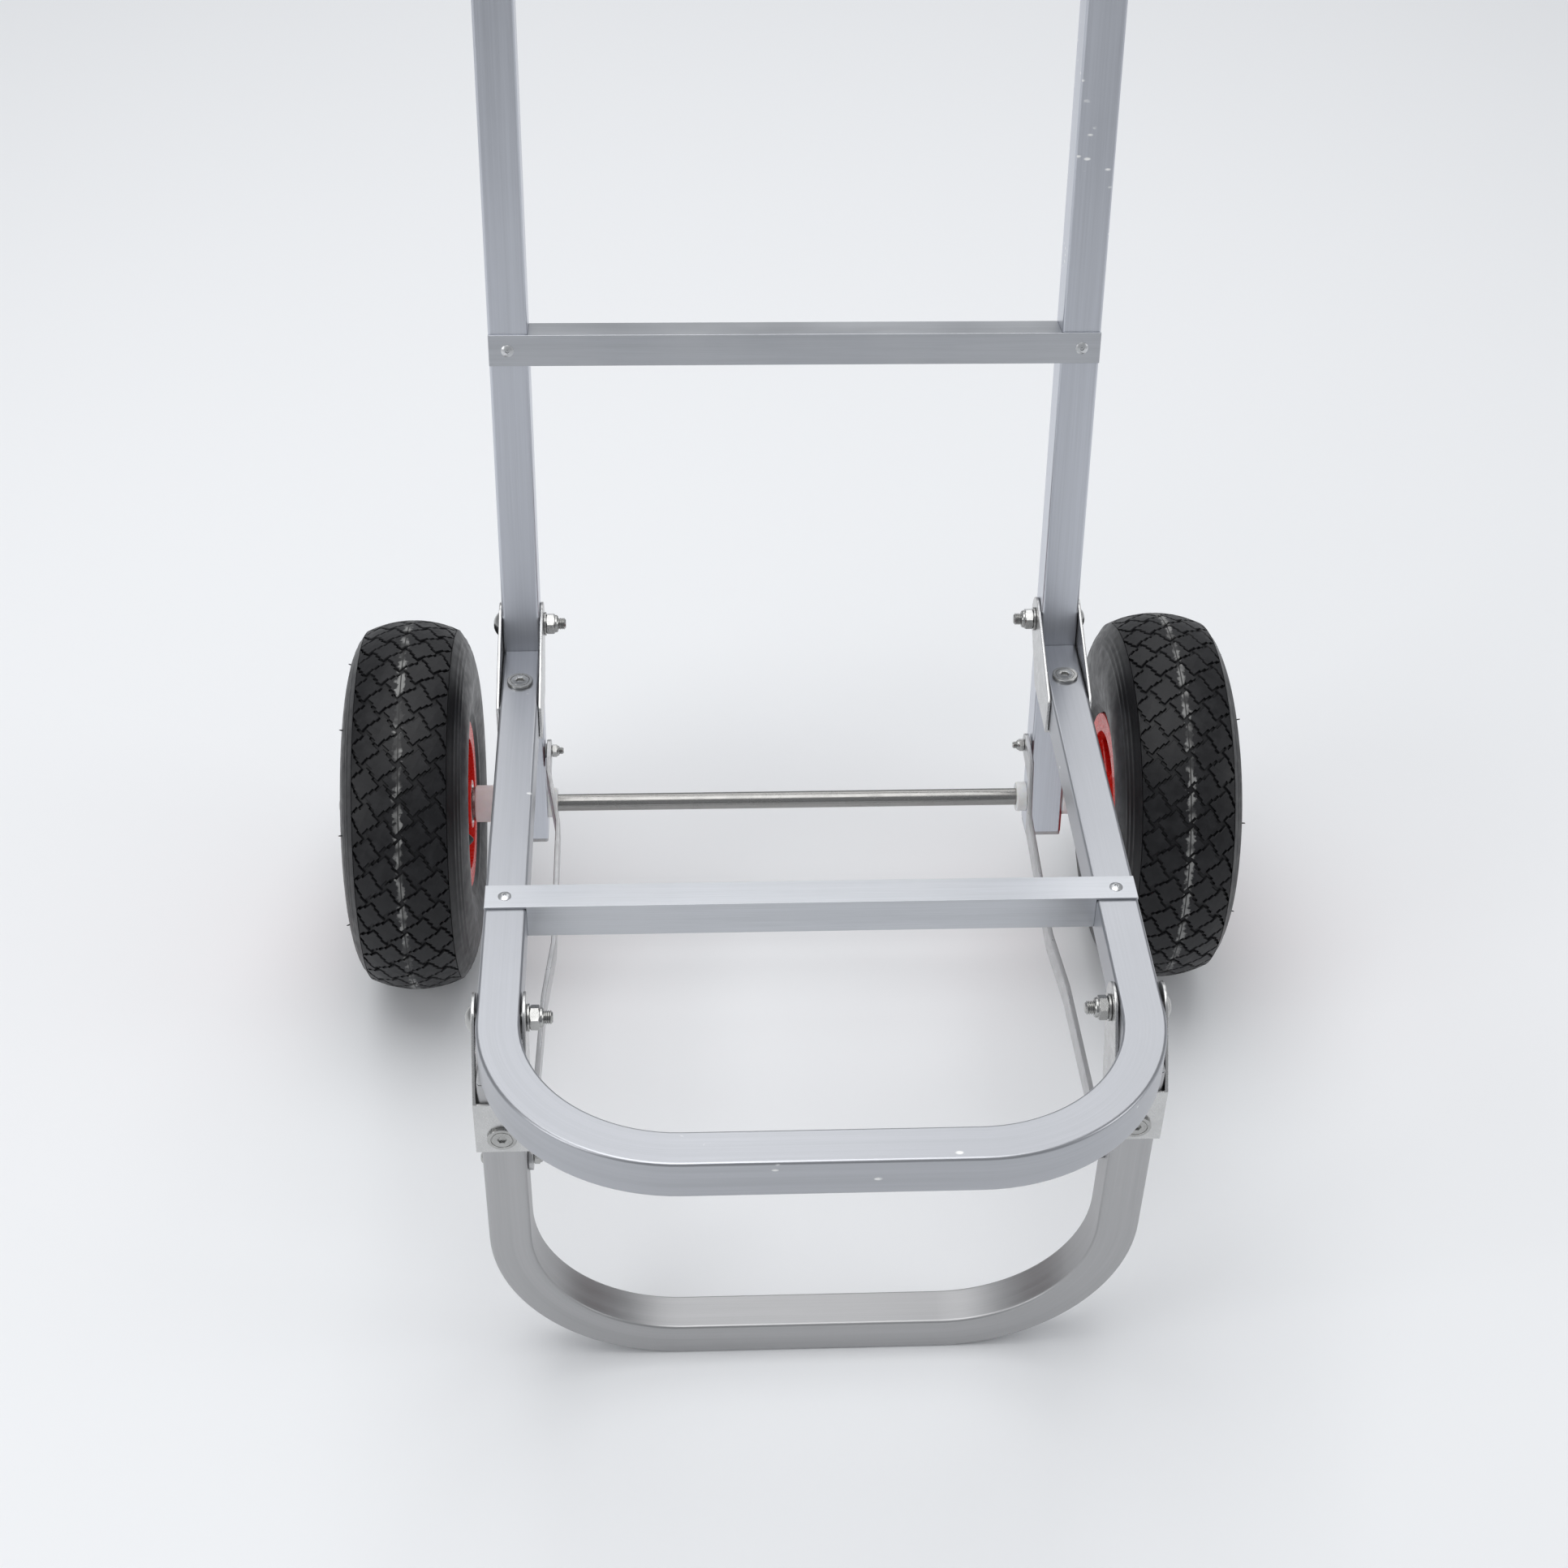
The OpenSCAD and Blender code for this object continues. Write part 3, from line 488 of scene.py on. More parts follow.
rivet_at = rail_x + 0.0005
rivet_head = [(0, -7.6), (1.9, -7.6), (2.0, -7.2), (2.0, 0.0), (4.0, 0.0)] + [
    (r, z + 0.25) for r, z in domed(4.0, 1.25, 1.45)] + [
    (1.25, 1.35), (1.1, 1.0), (1.05, 0.5), (0.75, 0.45), (0.6, 0.85), (0.25, 1.0), (0, 1.0)]
rivet_metal = worn_metal("rivet_metal", (0.70, 0.71, 0.72), 0.28, 0.6)
handle_axes = Matrix.Translation(seam) @ Matrix.Rotation(-lean, 4, "X")
deck_axes = Matrix.Translation(seam) @ Matrix.Rotation(-rise, 4, "X")
face_front = Matrix.Rotation(math.radians(90), 4, "X")
bar_wall = 0.0015
handle_bar_at = 0.2145
platform_bar_at = 0.2593
for name, body, spot in (
        ("handle_crossbar_rivets", "handle",
         handle_axes @ Matrix.Translation((0, -bar_wall, handle_bar_at)) @ face_front),
        ("platform_crossbar_rivets", "platform",
         deck_axes @ Matrix.Translation((0, -platform_bar_at, bar_wall)))):
    rivets = laid(turned(rivet_head, 40), rivet_metal, 2, (-rivet_at, 0, 0), step=(2 * rivet_at, 0, 0))
    fitted(name + "_piece", rivets, rivet_metal, body, (name,), spot)

# --- Brackets ----------------------------------------------------------------------------------
# Steel sheet pressed to a U, with two ears round a hinge bolt. Bright zinc covers it, and the cut
# edges shine where they were tumbled.
bracket_zinc = worn_metal("bracket_zinc", (0.60, 0.60, 0.595), 0.27, 0.35)
for bracket in ("left_platform_bracket", "right_platform_bracket", "left_leg_bracket", "right_leg_bracket"):
    softened(bracket, 0.00045, bracket_zinc)

# --- Struts ------------------------------------------------------------------------------------
# Flat steel bars, joggled by a press so that they pass inside the axle bushes and lie against the
# tubes at both ends. The plating is duller than the brackets', with rolling lines along the bar.
strut_zinc = worn_metal("strut_zinc", (0.54, 0.54, 0.545), 0.30, 0.5, streaks=(1, 0.03, 1))
for strut in ("left_strut", "right_strut"):
    softened(strut, 0.0004, strut_zinc)

# --- Bolts, washers and lock nuts --------------------------------------------------------------
# Zinc-plated steel. The hinge bolts are M8 with low round heads outside and lock nuts inside, with
# some thread standing out of each nut. The struts have M5 ones, and flat-headed M8 bolts hold the
# brackets.
fastener_zinc = worn_metal("fastener_zinc", (0.46, 0.46, 0.45), 0.22, 0.6)
thread_root = 0.84


def thread(radius, low, high, pitch):
    """Thread crests and roots from low up to high."""
    turns = int((high - low) / pitch)
    points = []
    for i in range(turns):
        z = low + i * pitch
        points += [(radius * thread_root, z), (radius, z + pitch * 0.42), (radius, z + pitch * 0.58)]
    end = low + turns * pitch
    return points + [(radius * thread_root, end), (radius, end + pitch / 2)]


def round_head_bolt(radius, length, head_radius, head_height, threaded, pitch):
    """A low round head with a hexagon socket, seated at height 0, and a shank below."""
    point = 0.6
    tip = [(0, -length), (radius * 0.7, -length), (radius * thread_root, -length + point)]
    socket = radius * 1.24
    corner = socket * 0.57
    head = [(head_radius - 0.25, 0), (head_radius, 0.25)] + [
        (r, z + 0.3) for r, z in domed(head_radius - 0.05, head_height - 0.3, socket * 0.62)]
    floor = head_height * 0.45
    return tip + thread(radius, point - length, threaded - length, pitch) + [(radius, 0)] + head + [
        (corner, head_height - 0.35, socket), (corner, floor, socket), (0, floor - 0.4)]


def lock_nut(radius, flats, height):
    """A hexagon with both ends chamfered, and the collar that grips the thread."""
    corner = flats / math.sqrt(3)
    cut = flats * 0.055
    hexagon = height * 0.72
    face = flats * 0.48
    chamfer = [(face + (corner - face) * k / 3, cut * k / 3, flats) for k in range(4)]
    back = [(r, hexagon - z, flats) for r, z, _ in reversed(chamfer)]
    return [(radius + 0.02, 0.3), (radius + 0.5, 0)] + chamfer + back + [
        (flats * 0.455, hexagon + 0.15), (flats * 0.45, height - 0.9), (flats * 0.41, height - 0.2),
        (flats * 0.37, height), (radius + 0.35, height), (radius + 0.02, height - 0.3)]


def flat_washer(radius, outer, height):
    edge = 0.18
    return [(radius, 0), (outer - edge, 0), (outer, edge), (outer, height - edge), (outer - edge, height),
            (radius + edge, height), (radius, height - edge)]


point_right = Matrix.Rotation(math.radians(90), 4, "Y")
about = (math.pi, 0, 0)


def middle(name):
    low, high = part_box(name)
    return (low + high) / 2


def pair(name, outline, finish, start, closed=False, reverse=False, steps=48):
    """Two like pieces on a line across the truck, start mm from its middle. They face out, or in if
    reversed."""
    mesh = turned(outline, steps, closed)
    if reverse:
        mesh.transform(Matrix.Rotation(math.pi, 4, "X"))
    centre = middle(name)
    centre.x = 0
    both = laid(mesh, finish, 2, (0, 0, start * mm), turn=about)
    return fitted(name + "_piece", both, finish, nodes[name]["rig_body"], (name,),
                  Matrix.Translation(centre) @ point_right)


def reach_out(name):
    """Distance from the truck's middle to the outer end of a pair, in mm."""
    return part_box(name)[1].x / mm


def reach_in(name):
    """Distance from the truck's middle to the inner end of a pair, in mm."""
    return min(abs(v.co.x) for v in nodes[name].data.vertices) / mm


m8, m8_head, m8_head_height, m8_flats, m8_thread, m8_pitch = 4, 8.5, 4.5, 13, 15, 1.25
m5, m5_head, m5_flats, m5_thread, m5_pitch = 2.5, 4.5, 8, 12, 0.8
for hinge in ("fold", "leg"):
    seat = reach_out(hinge + "_bolts") - m8_head_height
    pair(hinge + "_bolts",
         round_head_bolt(m8, seat - reach_in(hinge + "_bolts"), m8_head, m8_head_height, m8_thread, m8_pitch),
         fastener_zinc, seat)
    washer_out = reach_out(hinge + "_washers")
    pair(hinge + "_washers", flat_washer(m8, 8, washer_out - reach_in(hinge + "_washers")),
         fastener_zinc, washer_out, closed=True, reverse=True)
    nut_out = reach_out(hinge + "_nuts")
    pair(hinge + "_nuts", lock_nut(m8, m8_flats, nut_out - reach_in(hinge + "_nuts")),
         fastener_zinc, nut_out, closed=True, reverse=True)
for screws, nuts, head_height in (("strut_bolts", "strut_nuts", 2.5),
                                  ("strut_screws", "strut_screw_nuts", 3.3)):
    seat = reach_out(screws) - head_height
    pair(screws, round_head_bolt(m5, seat - reach_in(screws), m5_head, head_height, m5_thread, m5_pitch),
         fastener_zinc, seat, steps=36)
    nut_out = reach_out(nuts)
    pair(nuts, lock_nut(m5, m5_flats, nut_out - reach_in(nuts)), fastener_zinc, nut_out,
         closed=True, reverse=True, steps=36)

flat_head = [(8.3, 0), (8.5, 0.2), (8.5, 1.65), (8.15, 2.0), (6.5, 2.0), (6.3, 1.55), (6.0, 1.55),
             (5.8, 1.95), (3.0, 1.95), (2.85, 1.8, 5), (2.85, 0.7, 5), (0, 0.5)]
bracket_bolt_at = 0.037
bolt_end = -36
point_end = bolt_end + 0.6
flat_bolt = [(0, bolt_end), (2.8, bolt_end), (3.4, point_end)] + thread(
    m8, point_end, bolt_end + m8_thread, m8_pitch) + [(m8, 0)] + flat_head
bracket_nut_height = 8
sheet = 0.002
seat_drop = tube + sheet
deck = deck_axes @ Matrix.Translation((0, -bracket_bolt_at, 0))
leg_bolt_z = middle("leg_bracket_nuts").z
leg_front = Matrix.Translation((0, leg_top.y - tube / 2 - sheet, leg_bolt_z)) @ face_front
for name, nuts, body, spot in (("platform_bracket_bolts", "platform_bracket_nuts", "platform", deck),
                               ("leg_bracket_bolts", "leg_bracket_nuts", "leg", leg_front)):
    bolts = laid(turned(flat_bolt), fastener_zinc, 2, (-rail_x, 0, 0), step=(2 * rail_x, 0, 0))
    fitted(name + "_piece", bolts, fastener_zinc, body, (name,), spot)
    nut = turned(lock_nut(m8, m8_flats, bracket_nut_height), closed=True)
    nut.transform(Matrix.Rotation(math.pi, 4, "X"))
    both = laid(nut, fastener_zinc, 2, (-rail_x, 0, -seat_drop), step=(2 * rail_x, 0, 0))
    fitted(nuts + "_piece", both, fastener_zinc, body, (nuts,), spot)

# --- Axle --------------------------------------------------------------------------------------
# A plain 12 mm steel rod, drawn and left bare, so it has a dull grey skin with fine lines along it.
# It runs through both uprights in nylon bushes, and the wheels turn on its ends.
axle_steel = worn_metal("axle_steel", (0.33, 0.325, 0.315), 0.22, 0.35, streaks=(0.03, 1, 1))
axle_radius, axle_chamfer = 6, 0.8
axle_bore = axle_radius + 0.02
axle_half = reach_out("axle")
chamfer_at = axle_half - axle_chamfer
axle_line = middle("axle")
across_truck = Matrix.Translation(axle_line) @ point_right
end_face = [(axle_radius, chamfer_at), (axle_radius - axle_chamfer, axle_half), (0, axle_half)]
rod = [(r, -z) for r, z in reversed(end_face)] + [(axle_radius, z) for z in (-200, 0, 200)] + end_face
fitted("axle_rod", turned(rod, 64), axle_steel, "handle", ("axle",), across_truck)
axle_cap = reach_out("axle_caps")
cap_seat = reach_in("axle_caps")
cap_height = axle_cap - cap_seat
cap_floor = axle_half - cap_seat + 0.05
dome_height = 3.9
dome_at = cap_height - dome_height
cap = [(0, cap_floor), (axle_bore, cap_floor), (axle_bore, 0), (9.5, 0), (10, 0.5), (10, dome_at - 0.5),
       (9.7, dome_at)] + [(r, z + dome_at) for r, z in domed(9.4, dome_height, 0.6, 9)] + [(0, cap_height)]
pair("axle_caps", cap, fastener_zinc, cap_seat)
washer_height = 2
washer_mesh = turned(flat_washer(axle_radius, 12, washer_height), closed=True)
inner_washer, outer_washer = reach_in("axle_washers"), reach_out("axle_washers") - washer_height
washer_step = (outer_washer - inner_washer) * mm
washers = laid(washer_mesh, fastener_zinc, 2, (0, 0, inner_washer * mm), step=(0, 0, washer_step))
washers = laid(washers, fastener_zinc, 2, no_move, turn=about)
fitted("axle_washers_piece", washers, fastener_zinc, "handle", ("axle_washers",),
       across_truck)

# --- Bushes and spacers ------------------------------------------------------------------------
# White nylon, moulded: a flanged bush in each upright carries the axle, and a spacer tube with a faint
# pink cast keeps each wheel away from its upright. The spacer's colour is painted lighter than the
# bush's white, as painted light against the shade that falls between wheel and upright.
def nylon(name, colour, tint):
    made, tree, shader, place = new_finish(name, colour, roughness=0.42)
    shader.inputs["Subsurface Weight"].default_value = 0.25
    shader.inputs["Subsurface Radius"].default_value = (0.004, 0.003, 0.002)
    cloudy = graded(tree, grain(tree, place, 160, 3), 0.35, 0.65, 0, 1)
    tree.links.new(between(tree, cloudy, colour, tint), shader.inputs["Base Color"])
    tree.links.new(spread(tree, grain(tree, place, 500), 0.36, 0.5), shader.inputs["Roughness"])
    raised(tree, shader, grain(tree, place, 1500), fine_depth, 0.4)
    return made


def side_pair(name, left, right, outline, finish, start):
    """Two like pieces on the axle, start metres from the truck's middle and facing out."""
    both = laid(turned(outline, 56, closed=True), finish, 2, (0, 0, start), turn=about)
    fitted(name, both, finish, "handle", (left, right), across_truck)


white_nylon = nylon("bush_nylon", (0.86, 0.86, 0.85), (0.80, 0.80, 0.78))
# The spacer's base colour is well above the bush's white: painted light that lifts it out of the shade
# between wheel and upright.
spacer_nylon = nylon("spacer_nylon", (0.96, 0.94, 0.94), (0.91, 0.885, 0.885))
flange, sleeve = 7, 25
bush = [(axle_bore, -flange), (9.9, -flange), (10.5, 0.6 - flange), (10.5, -0.4), (10.2, -0.02),
        (7.95, -0.02), (7.95, sleeve - 0.4), (7.6, sleeve), (axle_bore, sleeve)]
side_pair("axle_bushes", "left_axle_bush", "right_axle_bush", bush, white_nylon,
          frame_width / 2 - tube)
spacer_length = reach_out("right_wheel_spacer") - frame_width / 2 / mm
spacer = [(axle_bore, 0), (12.4, 0), (13, 0.6), (13, spacer_length - 0.6), (12.4, spacer_length),
          (axle_bore, spacer_length)]
side_pair("wheel_spacers", "left_wheel_spacer", "right_wheel_spacer", spacer, spacer_nylon,
          frame_width / 2)

# --- Tube plugs --------------------------------------------------------------------------------
# Light grey polyethylene plugs, pushed into the open ends of the uprights and of the leg. Their skin
# is slightly grainy from the mould.
def grainy(name, colour, scale, detail, fade, dark, pale, gloss, depth, strength):
    """Plastic or rubber whose colour, gloss and bumps follow one noise."""
    made, tree, shader, place = new_finish(name, colour, roughness=gloss[0])
    grit = grain(tree, place, scale, detail)
    tree.links.new(between(tree, graded(tree, grit, *fade, 0, 1), dark, pale), shader.inputs["Base Color"])
    tree.links.new(spread(tree, grit, *gloss), shader.inputs["Roughness"])
    raised(tree, shader, grit, depth, strength)
    return made


plug_plastic = grainy("plug_plastic", (0.52, 0.53, 0.54), 900, 3, (0.3, 0.7),
                      (0.48, 0.49, 0.50), (0.56, 0.57, 0.58), (0.42, 0.6), 0.00005, 0.5)
for plug in ("upright_plugs", "leg_plugs"):
    softened(plug, 0.0005, plug_plastic)

# --- Strut washers -----------------------------------------------------------------------------
# Thin white nylon washers between the struts and the uprights, so that the plating isn't rubbed off
# when the truck is folded.
nylon_washer = [(m5, 0), (4.8, 0), (5, 0.2), (5, 0.8), (4.8, 1.0), (m5, 1.0)]
washer_thick = reach_out("strut_washers") - reach_in("strut_washers")
pair("strut_washers", [(r, z * washer_thick) for r, z in nylon_washer], white_nylon,
     reach_out("strut_washers"), closed=True, reverse=True)

# --- Tyres -------------------------------------------------------------------------------------
# Moulded black rubber on a nylon carcass, 260 mm across and 85 mm wide. Diamond blocks with stepped
# edges cover the crown; the mould's parting line runs round their middle, scuffed grey by the floor.
# Short vent nubs from the mould stand round the outer side wall.
tyre_radius, tyre_width, crown_radius = 130, 85, 72
crown_centre = tyre_radius - crown_radius
side_at, side_radius = 88, 60
side_centre = tyre_width / 2 - side_radius
blocks_round = 34
pitch = 2 * math.pi * tyre_radius / blocks_round
half_across = 11.6
groove, jog, groove_depth = 1.9, 1.35, 1.9
tread_half = 32.2
bead_seat, flange_edge, flange_in, bead_in, bead_top = 50, 59, 33.8, 24, 60
carcass_wall = 6
wheel_at = abs(joints["right_wheel_spin"]["pos_m"][0])


def block_outline(centre_x, centre_y, inset):
    """The stepped outline of one diamond block, inset from the middle of its grooves."""
    corners = [Vector((x * half_across, y * pitch / 2)) for x, y in ((1, 0), (0, 1), (-1, 0), (0, -1))]
    out = -groove / 2 - inset
    steps = (out + jog, out, out - jog)
    edges = []
    for i in range(4):
        start, end = corners[i], corners[(i + 1) % 4]
        along = (end - start).normalized()
        edges.append((start, end, along, Vector((along.y, -along.x))))
    points = []
    for i in range(4):
        start, end, along, outward = edges[i]
        before, _, along_before, outward_before = edges[i - 1]
        # Where the last step of the edge before meets the first step of this one.
        last = before + outward_before * steps[2]
        first = start + outward * steps[0]
        cross = along_before.x * along.y - along_before.y * along.x
        gap = first - last
        reach = (gap.x * along.y - gap.y * along.x) / cross
        points.append(last + along_before * reach)
        for share, near, far in ((0.36, steps[0], steps[1]), (0.64, steps[1], steps[2])):
            spot = start.lerp(end, share)
            points.append(spot + outward * near)
            points.append(spot + outward * far)
    limit = tread_half - inset
    return [Vector((max(-limit, min(limit, p.x + centre_x)), p.y + centre_y)) for p in points]


def tread_row():
    """One row of blocks across the tread, flat, with the ground side at height 0."""
    shape = bmesh.new()
    sunk, rounding = 0.7, 0.3
    for column in range(-3, 4):
        centre = (column * half_across, pitch / 2 * (column % 2))
        rings = []
        for inset, height in ((-0.35, -groove_depth - sunk), (0, -rounding), (rounding, 0)):
            rings.append([shape.verts.new((p.x * mm, p.y * mm, height * mm))
                          for p in block_outline(*centre, inset)])
        for low, high in zip(rings, rings[1:]):
            for i in range(len(low)):
                j = (i + 1) % len(low)
                shape.faces.new((low[i], low[j], high[j], high[i]))
        top = rings[-1]
        hub = shape.verts.new(sum((v.co for v in top), Vector()) / len(top))
        for i in range(len(top)):
            shape.faces.new((top[i], top[(i + 1) % len(top)], hub))
    bmesh.ops.recalc_face_normals(shape, faces=shape.faces)
    mesh = bpy.data.meshes.new("tread_row")
    shape.to_mesh(mesh)
    shape.free()
    return mesh


def tread_tree():
    """Repeats a flat row of blocks round the tyre, and bends the strip over the crown and the wheel."""
    tree, given = new_tree("tread", ("Row", "Geometry"), ("Rows", "Int"), ("Pitch", "Float"),
                           ("Crown radius", "Float"), ("Crown centre", "Float"), ("Finish", "Material"))
    step = node(tree, "ShaderNodeCombineXYZ", {1: given["Pitch"]}).outputs[0]
    points = node(tree, "GeometryNodeMeshLine", {"Count": given["Rows"], "Offset": step}).outputs[0]
    strip = node(tree, "GeometryNodeInstanceOnPoints", {
        "Points": points, "Instance": given["Row"]}).outputs[0]
    strip = node(tree, "GeometryNodeRealizeInstances", {0: strip}).outputs[0]
    spot = node(tree, "GeometryNodeInputPosition").outputs[0]
    flat = node(tree, "ShaderNodeSeparateXYZ", {0: spot}).outputs
    bend = calc(tree, "DIVIDE", flat["X"], given["Crown radius"])
    girth = calc(tree, "MULTIPLY", given["Pitch"], given["Rows"])
    turn = calc(tree, "MULTIPLY", calc(tree, "DIVIDE", flat["Y"], girth), 2 * math.pi)
    high = calc(tree, "ADD", given["Crown radius"], flat["Z"])
    above_centre = calc(tree, "MULTIPLY", high, calc(tree, "COSINE", bend))
    out = calc(tree, "ADD", given["Crown centre"], above_centre)
    bent = node(tree, "ShaderNodeCombineXYZ", {
        0: calc(tree, "MULTIPLY", out, calc(tree, "COSINE", turn)),
        1: calc(tree, "MULTIPLY", out, calc(tree, "SINE", turn)),
        2: calc(tree, "MULTIPLY", high, calc(tree, "SINE", bend))}).outputs[0]
    strip = node(tree, "GeometryNodeSetPosition", {"Geometry": strip, "Position": bent}).outputs[0]
    return end_tree(tree, strip, given["Finish"])


def arc(centre_r, centre_z, radius, start, end, steps):
    """Points of an arc as distance from the axle and height across the tyre. Angle 0 points away from
    the axle."""
    turns = [start + (end - start) * i / steps for i in range(steps + 1)]
    return [(centre_r + radius * math.cos(a), centre_z + radius * math.sin(a)) for a in turns]


def sidewall_ribs(radius):
    """Fine ribs moulded round the side wall, and the guard above the rim's flange."""
    ribs = sum(0.45 * math.exp(-((radius - at) / 0.7) ** 2) for at in (117, 113, 109))
    return ribs + 0.7 * math.exp(-((radius - 66) / 1.6) ** 2)


def carcass_outline():
    """The tyre's section without its blocks, from one bead over the crown to the other and back inside."""
    shoulder = tread_half / crown_radius
    crown = arc(crown_centre, 0, crown_radius - groove_depth, shoulder, 0, 12)
    high = math.acos((crown_centre + crown_radius * math.cos(shoulder) - side_at) / side_radius)
    low = math.acos((bead_top + 0.8 - side_at) / side_radius)
    side = [(r, z + sidewall_ribs(r)) for r, z in arc(side_at, side_centre, side_radius, low, high, 64)]
    edge = [(bead_seat, flange_in), (flange_edge + 0.4, flange_in), (flange_edge + 0.5, flange_in + 1.6)]
    half = [(bead_seat, bead_in)] + edge + side + crown
    inside = side_radius - carcass_wall
    inner = arc(side_at, side_centre, inside, high * 0.94, math.acos((bead_top - side_at) / inside), 12)
    hollow = arc(crown_centre, 0, crown_radius - carcass_wall, 0, shoulder * 0.9, 6)
    hollow += inner + [(bead_top, bead_in)]
    other_side = [(r, -z) for r, z in reversed(half[:-1])]
    other_hollow = [(r, -z) for r, z in reversed(hollow[1:])]
    return half + other_side + other_hollow + hollow


def tyre_rubber():
    """Black rubber: floor dust on the crown, a scuffed parting line, and a cleaner, shinier side wall."""
    made, tree, shader, place = new_finish("tyre_rubber", (0.012, 0.012, 0.013), roughness=0.5)
    shader.inputs["Specular IOR Level"].default_value = 0.3
    parts = node(tree, "ShaderNodeSeparateXYZ", {0: place}).outputs
    off_middle = calc(tree, "SUBTRACT", calc(tree, "ABSOLUTE", parts["X"]), wheel_at)
    spoke = node(tree, "ShaderNodeCombineXYZ", {
        0: calc(tree, "SUBTRACT", parts["Y"], axle_line.y),
        1: calc(tree, "SUBTRACT", parts["Z"], axle_line.z)}).outputs[0]
    from_axle = node(tree, "ShaderNodeVectorMath", {0: spoke}, operation="LENGTH").outputs["Value"]
    blotch = grain(tree, place, 110, 4, 0.6)
    pores = grain(tree, place, 1600)
    torn = calc(tree, "ADD", off_middle, spread(tree, grain(tree, place, 260, 3), -0.0022, 0.0014))
    line = graded(tree, calc(tree, "ABSOLUTE", torn), 0.0014, 0.0028, 1, 0)
    ground = tyre_radius * mm
    tops = graded(tree, from_axle, ground - 0.0016, ground - 0.0004, 0, 1)
    patches = graded(tree, grain(tree, place, 75), 0.42, 0.56, 0.12, 1)
    scuff = calc(tree, "MULTIPLY", calc(tree, "MULTIPLY", line, tops), patches)
    crown = graded(tree, from_axle, ground - 0.009, ground - 0.0025, 0, 1)
    dust = calc(tree, "MULTIPLY", crown, graded(tree, blotch, 0.4, 0.7, 0, 1))
    colour = between(tree, dust, (0.0075, 0.0075, 0.0088), (0.017, 0.0172, 0.019))
    seam_line = graded(tree, calc(tree, "ABSOLUTE", off_middle), 0.0002, 0.0006, 1, 0)
    colour = between(tree, scuff, colour, (0.23, 0.23, 0.225))
    colour = between(tree, calc(tree, "MULTIPLY", seam_line, tops), colour, (0.02, 0.02, 0.02))
    tree.links.new(colour, shader.inputs["Base Color"])
    shine = calc(tree, "ADD", graded(tree, crown, 0, 1, 0.36, 0.44), spread(tree, blotch, -0.05, 0.12))
    tree.links.new(shine, shader.inputs["Roughness"])
    under = raised(tree, shader, pores, 0.00006, 0.35)
    raised(tree, shader, blotch, 0.0002, 0.25, under)
    return made


rubber = tyre_rubber()
tread = grown(tread_tree(), tread_row(), **{
    "Rows": blocks_round, "Pitch": pitch * mm, "Crown radius": crown_radius * mm,
    "Crown centre": crown_centre * mm, "Finish": rubber})
nub_count, nub_lean, nub_up = 9, 18, 16
nub = turned([(0, -0.4), (0.5, -0.4), (0.45, 1.2), (0.3, 2.2), (0, 2.5)], 8)
nub.transform(Matrix.Rotation(math.radians(nub_lean), 4, "Y"))
nub_at = (side_at + nub_up, 0, side_centre + math.sqrt(side_radius ** 2 - nub_up ** 2) - 0.2)
nubs = laid(nub, rubber, nub_count, tuple(c * mm for c in nub_at), turn=(0, 0, 2 * math.pi / nub_count))
carcass = turned(carcass_outline(), 144, closed=True)
tyre_crease = 38
# Each wheel's own axes: Z points out of the truck, and X points down.
wheel_axes = {
    "left": Matrix.Translation((-wheel_at, axle_line.y, axle_line.z)) @ Matrix(
        ((0, 0, -1), (0, -1, 0), (-1, 0, 0))).to_4x4(),
    "right": Matrix.Translation((wheel_at, axle_line.y, axle_line.z)) @ Matrix(
        ((0, 0, 1), (0, 1, 0), (-1, 0, 0))).to_4x4()}
for side in wheel_axes:
    shape = bmesh.new()
    for part in (carcass, tread, nubs):
        shape.from_mesh(part)
    whole = bpy.data.meshes.new("tyre")
    shape.to_mesh(whole)
    shape.free()
    fitted(side + "_tyre_piece", whole, rubber, side + "_wheel", (side + "_tyre",),
           wheel_axes[side], tyre_crease)

# --- Inner tubes -------------------------------------------------------------------------------
# Thin butyl rubber, talced so that it doesn't stick in the tyre. Each tube is out of sight inside
# its wheel, so the CAD's own shape is enough.
butyl = grainy("butyl_rubber", (0.05, 0.05, 0.05), 60, 4, (0.4, 0.7),
               (0.04, 0.04, 0.04), (0.22, 0.22, 0.21), (0.5, 0.8), 0.0002, 0.4)
for side in wheel_axes:
    coat(side + "_inner_tube", butyl)

# --- Rims --------------------------------------------------------------------------------------
# Two halves moulded in glossy red plastic, bolted together round the tyre. Each has a hub sleeve,
# five ribs, a barrel and a flange; the outer half is the same shape as the inner one.
def red_plastic():
    made, tree, shader, place = new_finish("red_rim_plastic", (0.76, 0.020, 0.012), roughness=0.28)
    shader.inputs["Coat Weight"].default_value = 0.1
    shader.inputs["Coat Roughness"].default_value = 0.12
    shader.inputs["Specular IOR Level"].default_value = 0.28
    flow = grain(tree, place, 45, 3)
    grit = grain(tree, place, 420, 3)
    colour = between(tree, graded(tree, flow, 0.35, 0.65, 0, 1), (0.70, 0.016, 0.010), (0.84, 0.028, 0.016))
    dust = graded(tree, grit, 0.60, 0.76, 0, 0.25)
    tree.links.new(between(tree, dust, colour, (0.42, 0.10, 0.07)), shader.inputs["Base Color"])
    tree.links.new(graded(tree, grit, 0.35, 0.7, 0.22, 0.42), shader.inputs["Roughness"])
    raised(tree, shader, flow, 0.0003, 0.3)
    return made


red_rim = red_plastic()
for side in wheel_axes:
    for half in ("inner", "outer"):
        softened(side + "_" + half + "_rim", 0.0007, red_rim)

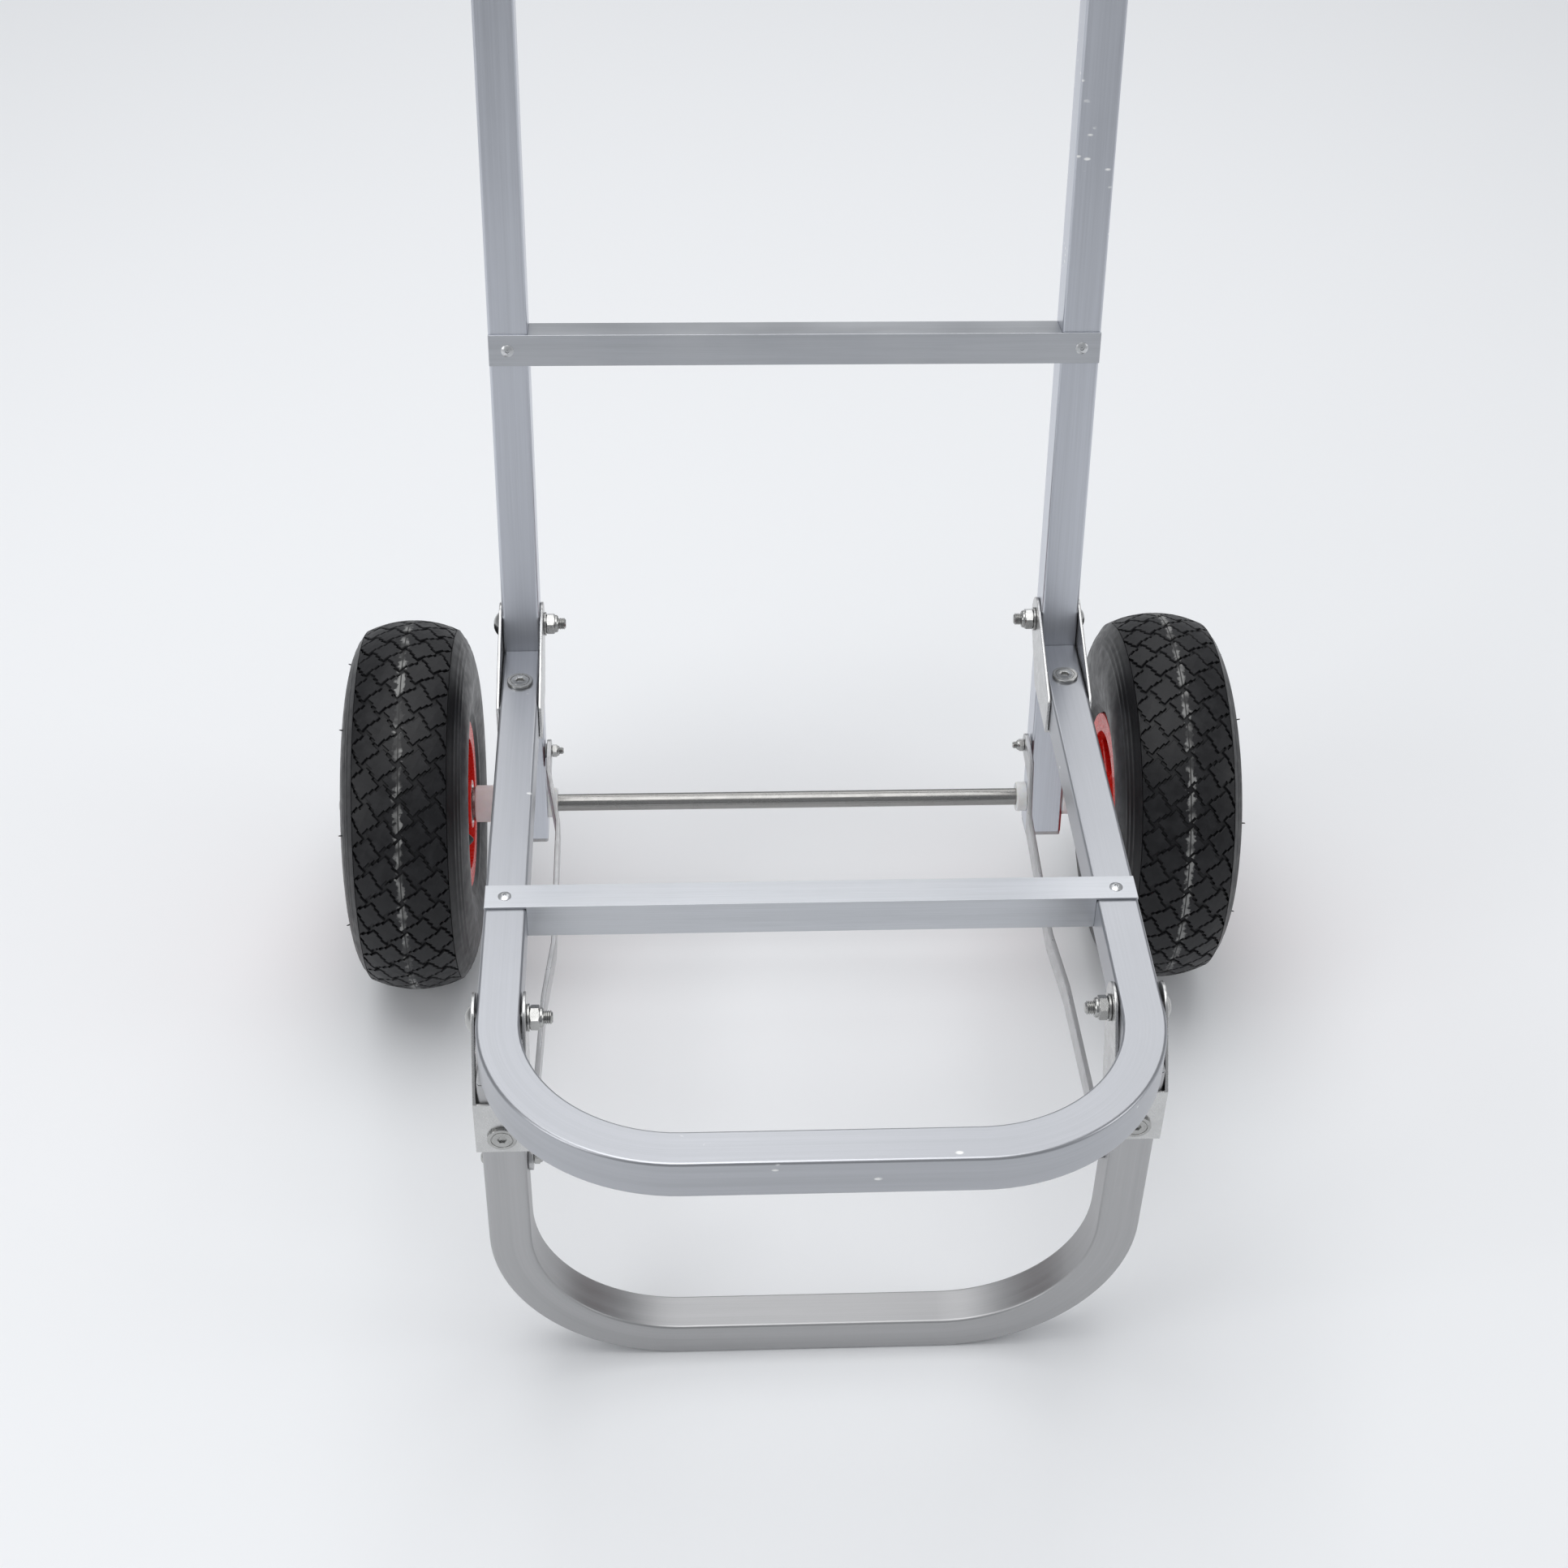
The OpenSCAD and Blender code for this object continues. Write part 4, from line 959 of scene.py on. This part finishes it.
# --- Rim bolts and nuts ------------------------------------------------------------------------
# Five M6 bolts on a 64 mm circle hold the two halves of each rim together. Their heads are on the
# outer half and their nuts on the inner one.
rim_bolt_count, bolt_circle, web = 5, 32 * mm, 5 * mm
next_bolt = (0, 0, 2 * math.pi / rim_bolt_count)
m6, m6_head, m6_head_height, m6_flats, m6_nut_height, m6_thread, m6_pitch = 3, 5, 3, 10, 6, 9, 1.0
rim_bolt_length = 20
rim_bolt = turned(round_head_bolt(m6, rim_bolt_length, m6_head, m6_head_height, m6_thread, m6_pitch), 36)
rim_nut = turned(lock_nut(m6, m6_flats, m6_nut_height), 36, closed=True)
rim_nut.transform(Matrix.Rotation(math.pi, 4, "X"))
for side in wheel_axes:
    for mesh, end, name in ((rim_bolt, web, "_rim_bolts"), (rim_nut, -web, "_rim_nuts")):
        ring = laid(mesh, fastener_zinc, rim_bolt_count, (bolt_circle, 0, end), turn=next_bolt)
        fitted(side + name + "_piece", ring, fastener_zinc, side + "_wheel", (side + name,),
               wheel_axes[side])

# --- Bearings ----------------------------------------------------------------------------------
# A ball bearing in each end of the hub, with a pressed steel shield between its two rings. The balls
# are out of sight, so each bearing is one closed ring.
bearing_steel = worn_metal("bearing_steel", (0.62, 0.62, 0.62), 0.22, 0.4)
bearing_out, bearing_length = 39, 12
bearing = [(6.05, 0.3), (6.35, 0), (8.6, 0), (8.9, 0.3), (8.9, 0.9), (11.4, 0.9), (11.4, 0.3), (11.7, 0),
           (13.6, 0), (13.95, 0.4), (13.95, bearing_length - 0.4), (13.6, bearing_length),
           (6.35, bearing_length), (6.05, bearing_length - 0.3)]
for side in wheel_axes:
    both = laid(turned(bearing, 56, closed=True), bearing_steel, 2, (0, 0, -bearing_out * mm), turn=about)
    fitted(side + "_bearings_piece", both, bearing_steel, side + "_wheel", (side + "_bearings",),
           wheel_axes[side])

# --- Valves ------------------------------------------------------------------------------------
# A rubber stem, bent over towards the wheel's inner side so that a pump reaches it, with a ribbed
# cap screwed on its end.
valve_rubber = grainy("valve_rubber", (0.02, 0.02, 0.02), 700, 3, (0.35, 0.65),
                      (0.014, 0.014, 0.014), (0.035, 0.035, 0.035), (0.35, 0.55), 0.00005, 0.5)
valve_turn, valve_tilt, valve_deep = math.radians(306), math.radians(44), 12
stem = [(0, 3.8), (4.5, 3.8), (4.5, 11), (3.9, 12), (3.3, 13), (3.2, 27), (3.7, 27.2), (3.75, 28),
        (3.5, 28.4), (3.75, 28.8), (3.75, 35.2), (3.2, 36.6), (2.2, 37), (0, 37)]
for side, sign in (("left", -1), ("right", 1)):
    spot = (wheel_axes[side] @ Matrix.Rotation(sign * valve_turn, 4, "Z")
            @ Matrix.Translation((bead_seat * mm, 0, -valve_deep * mm))
            @ Matrix.Rotation(-math.pi / 2 - valve_tilt, 4, "Y"))
    fitted(side + "_valve_piece", turned(stem, 32), valve_rubber, side + "_wheel", (side + "_valve",),
           spot)
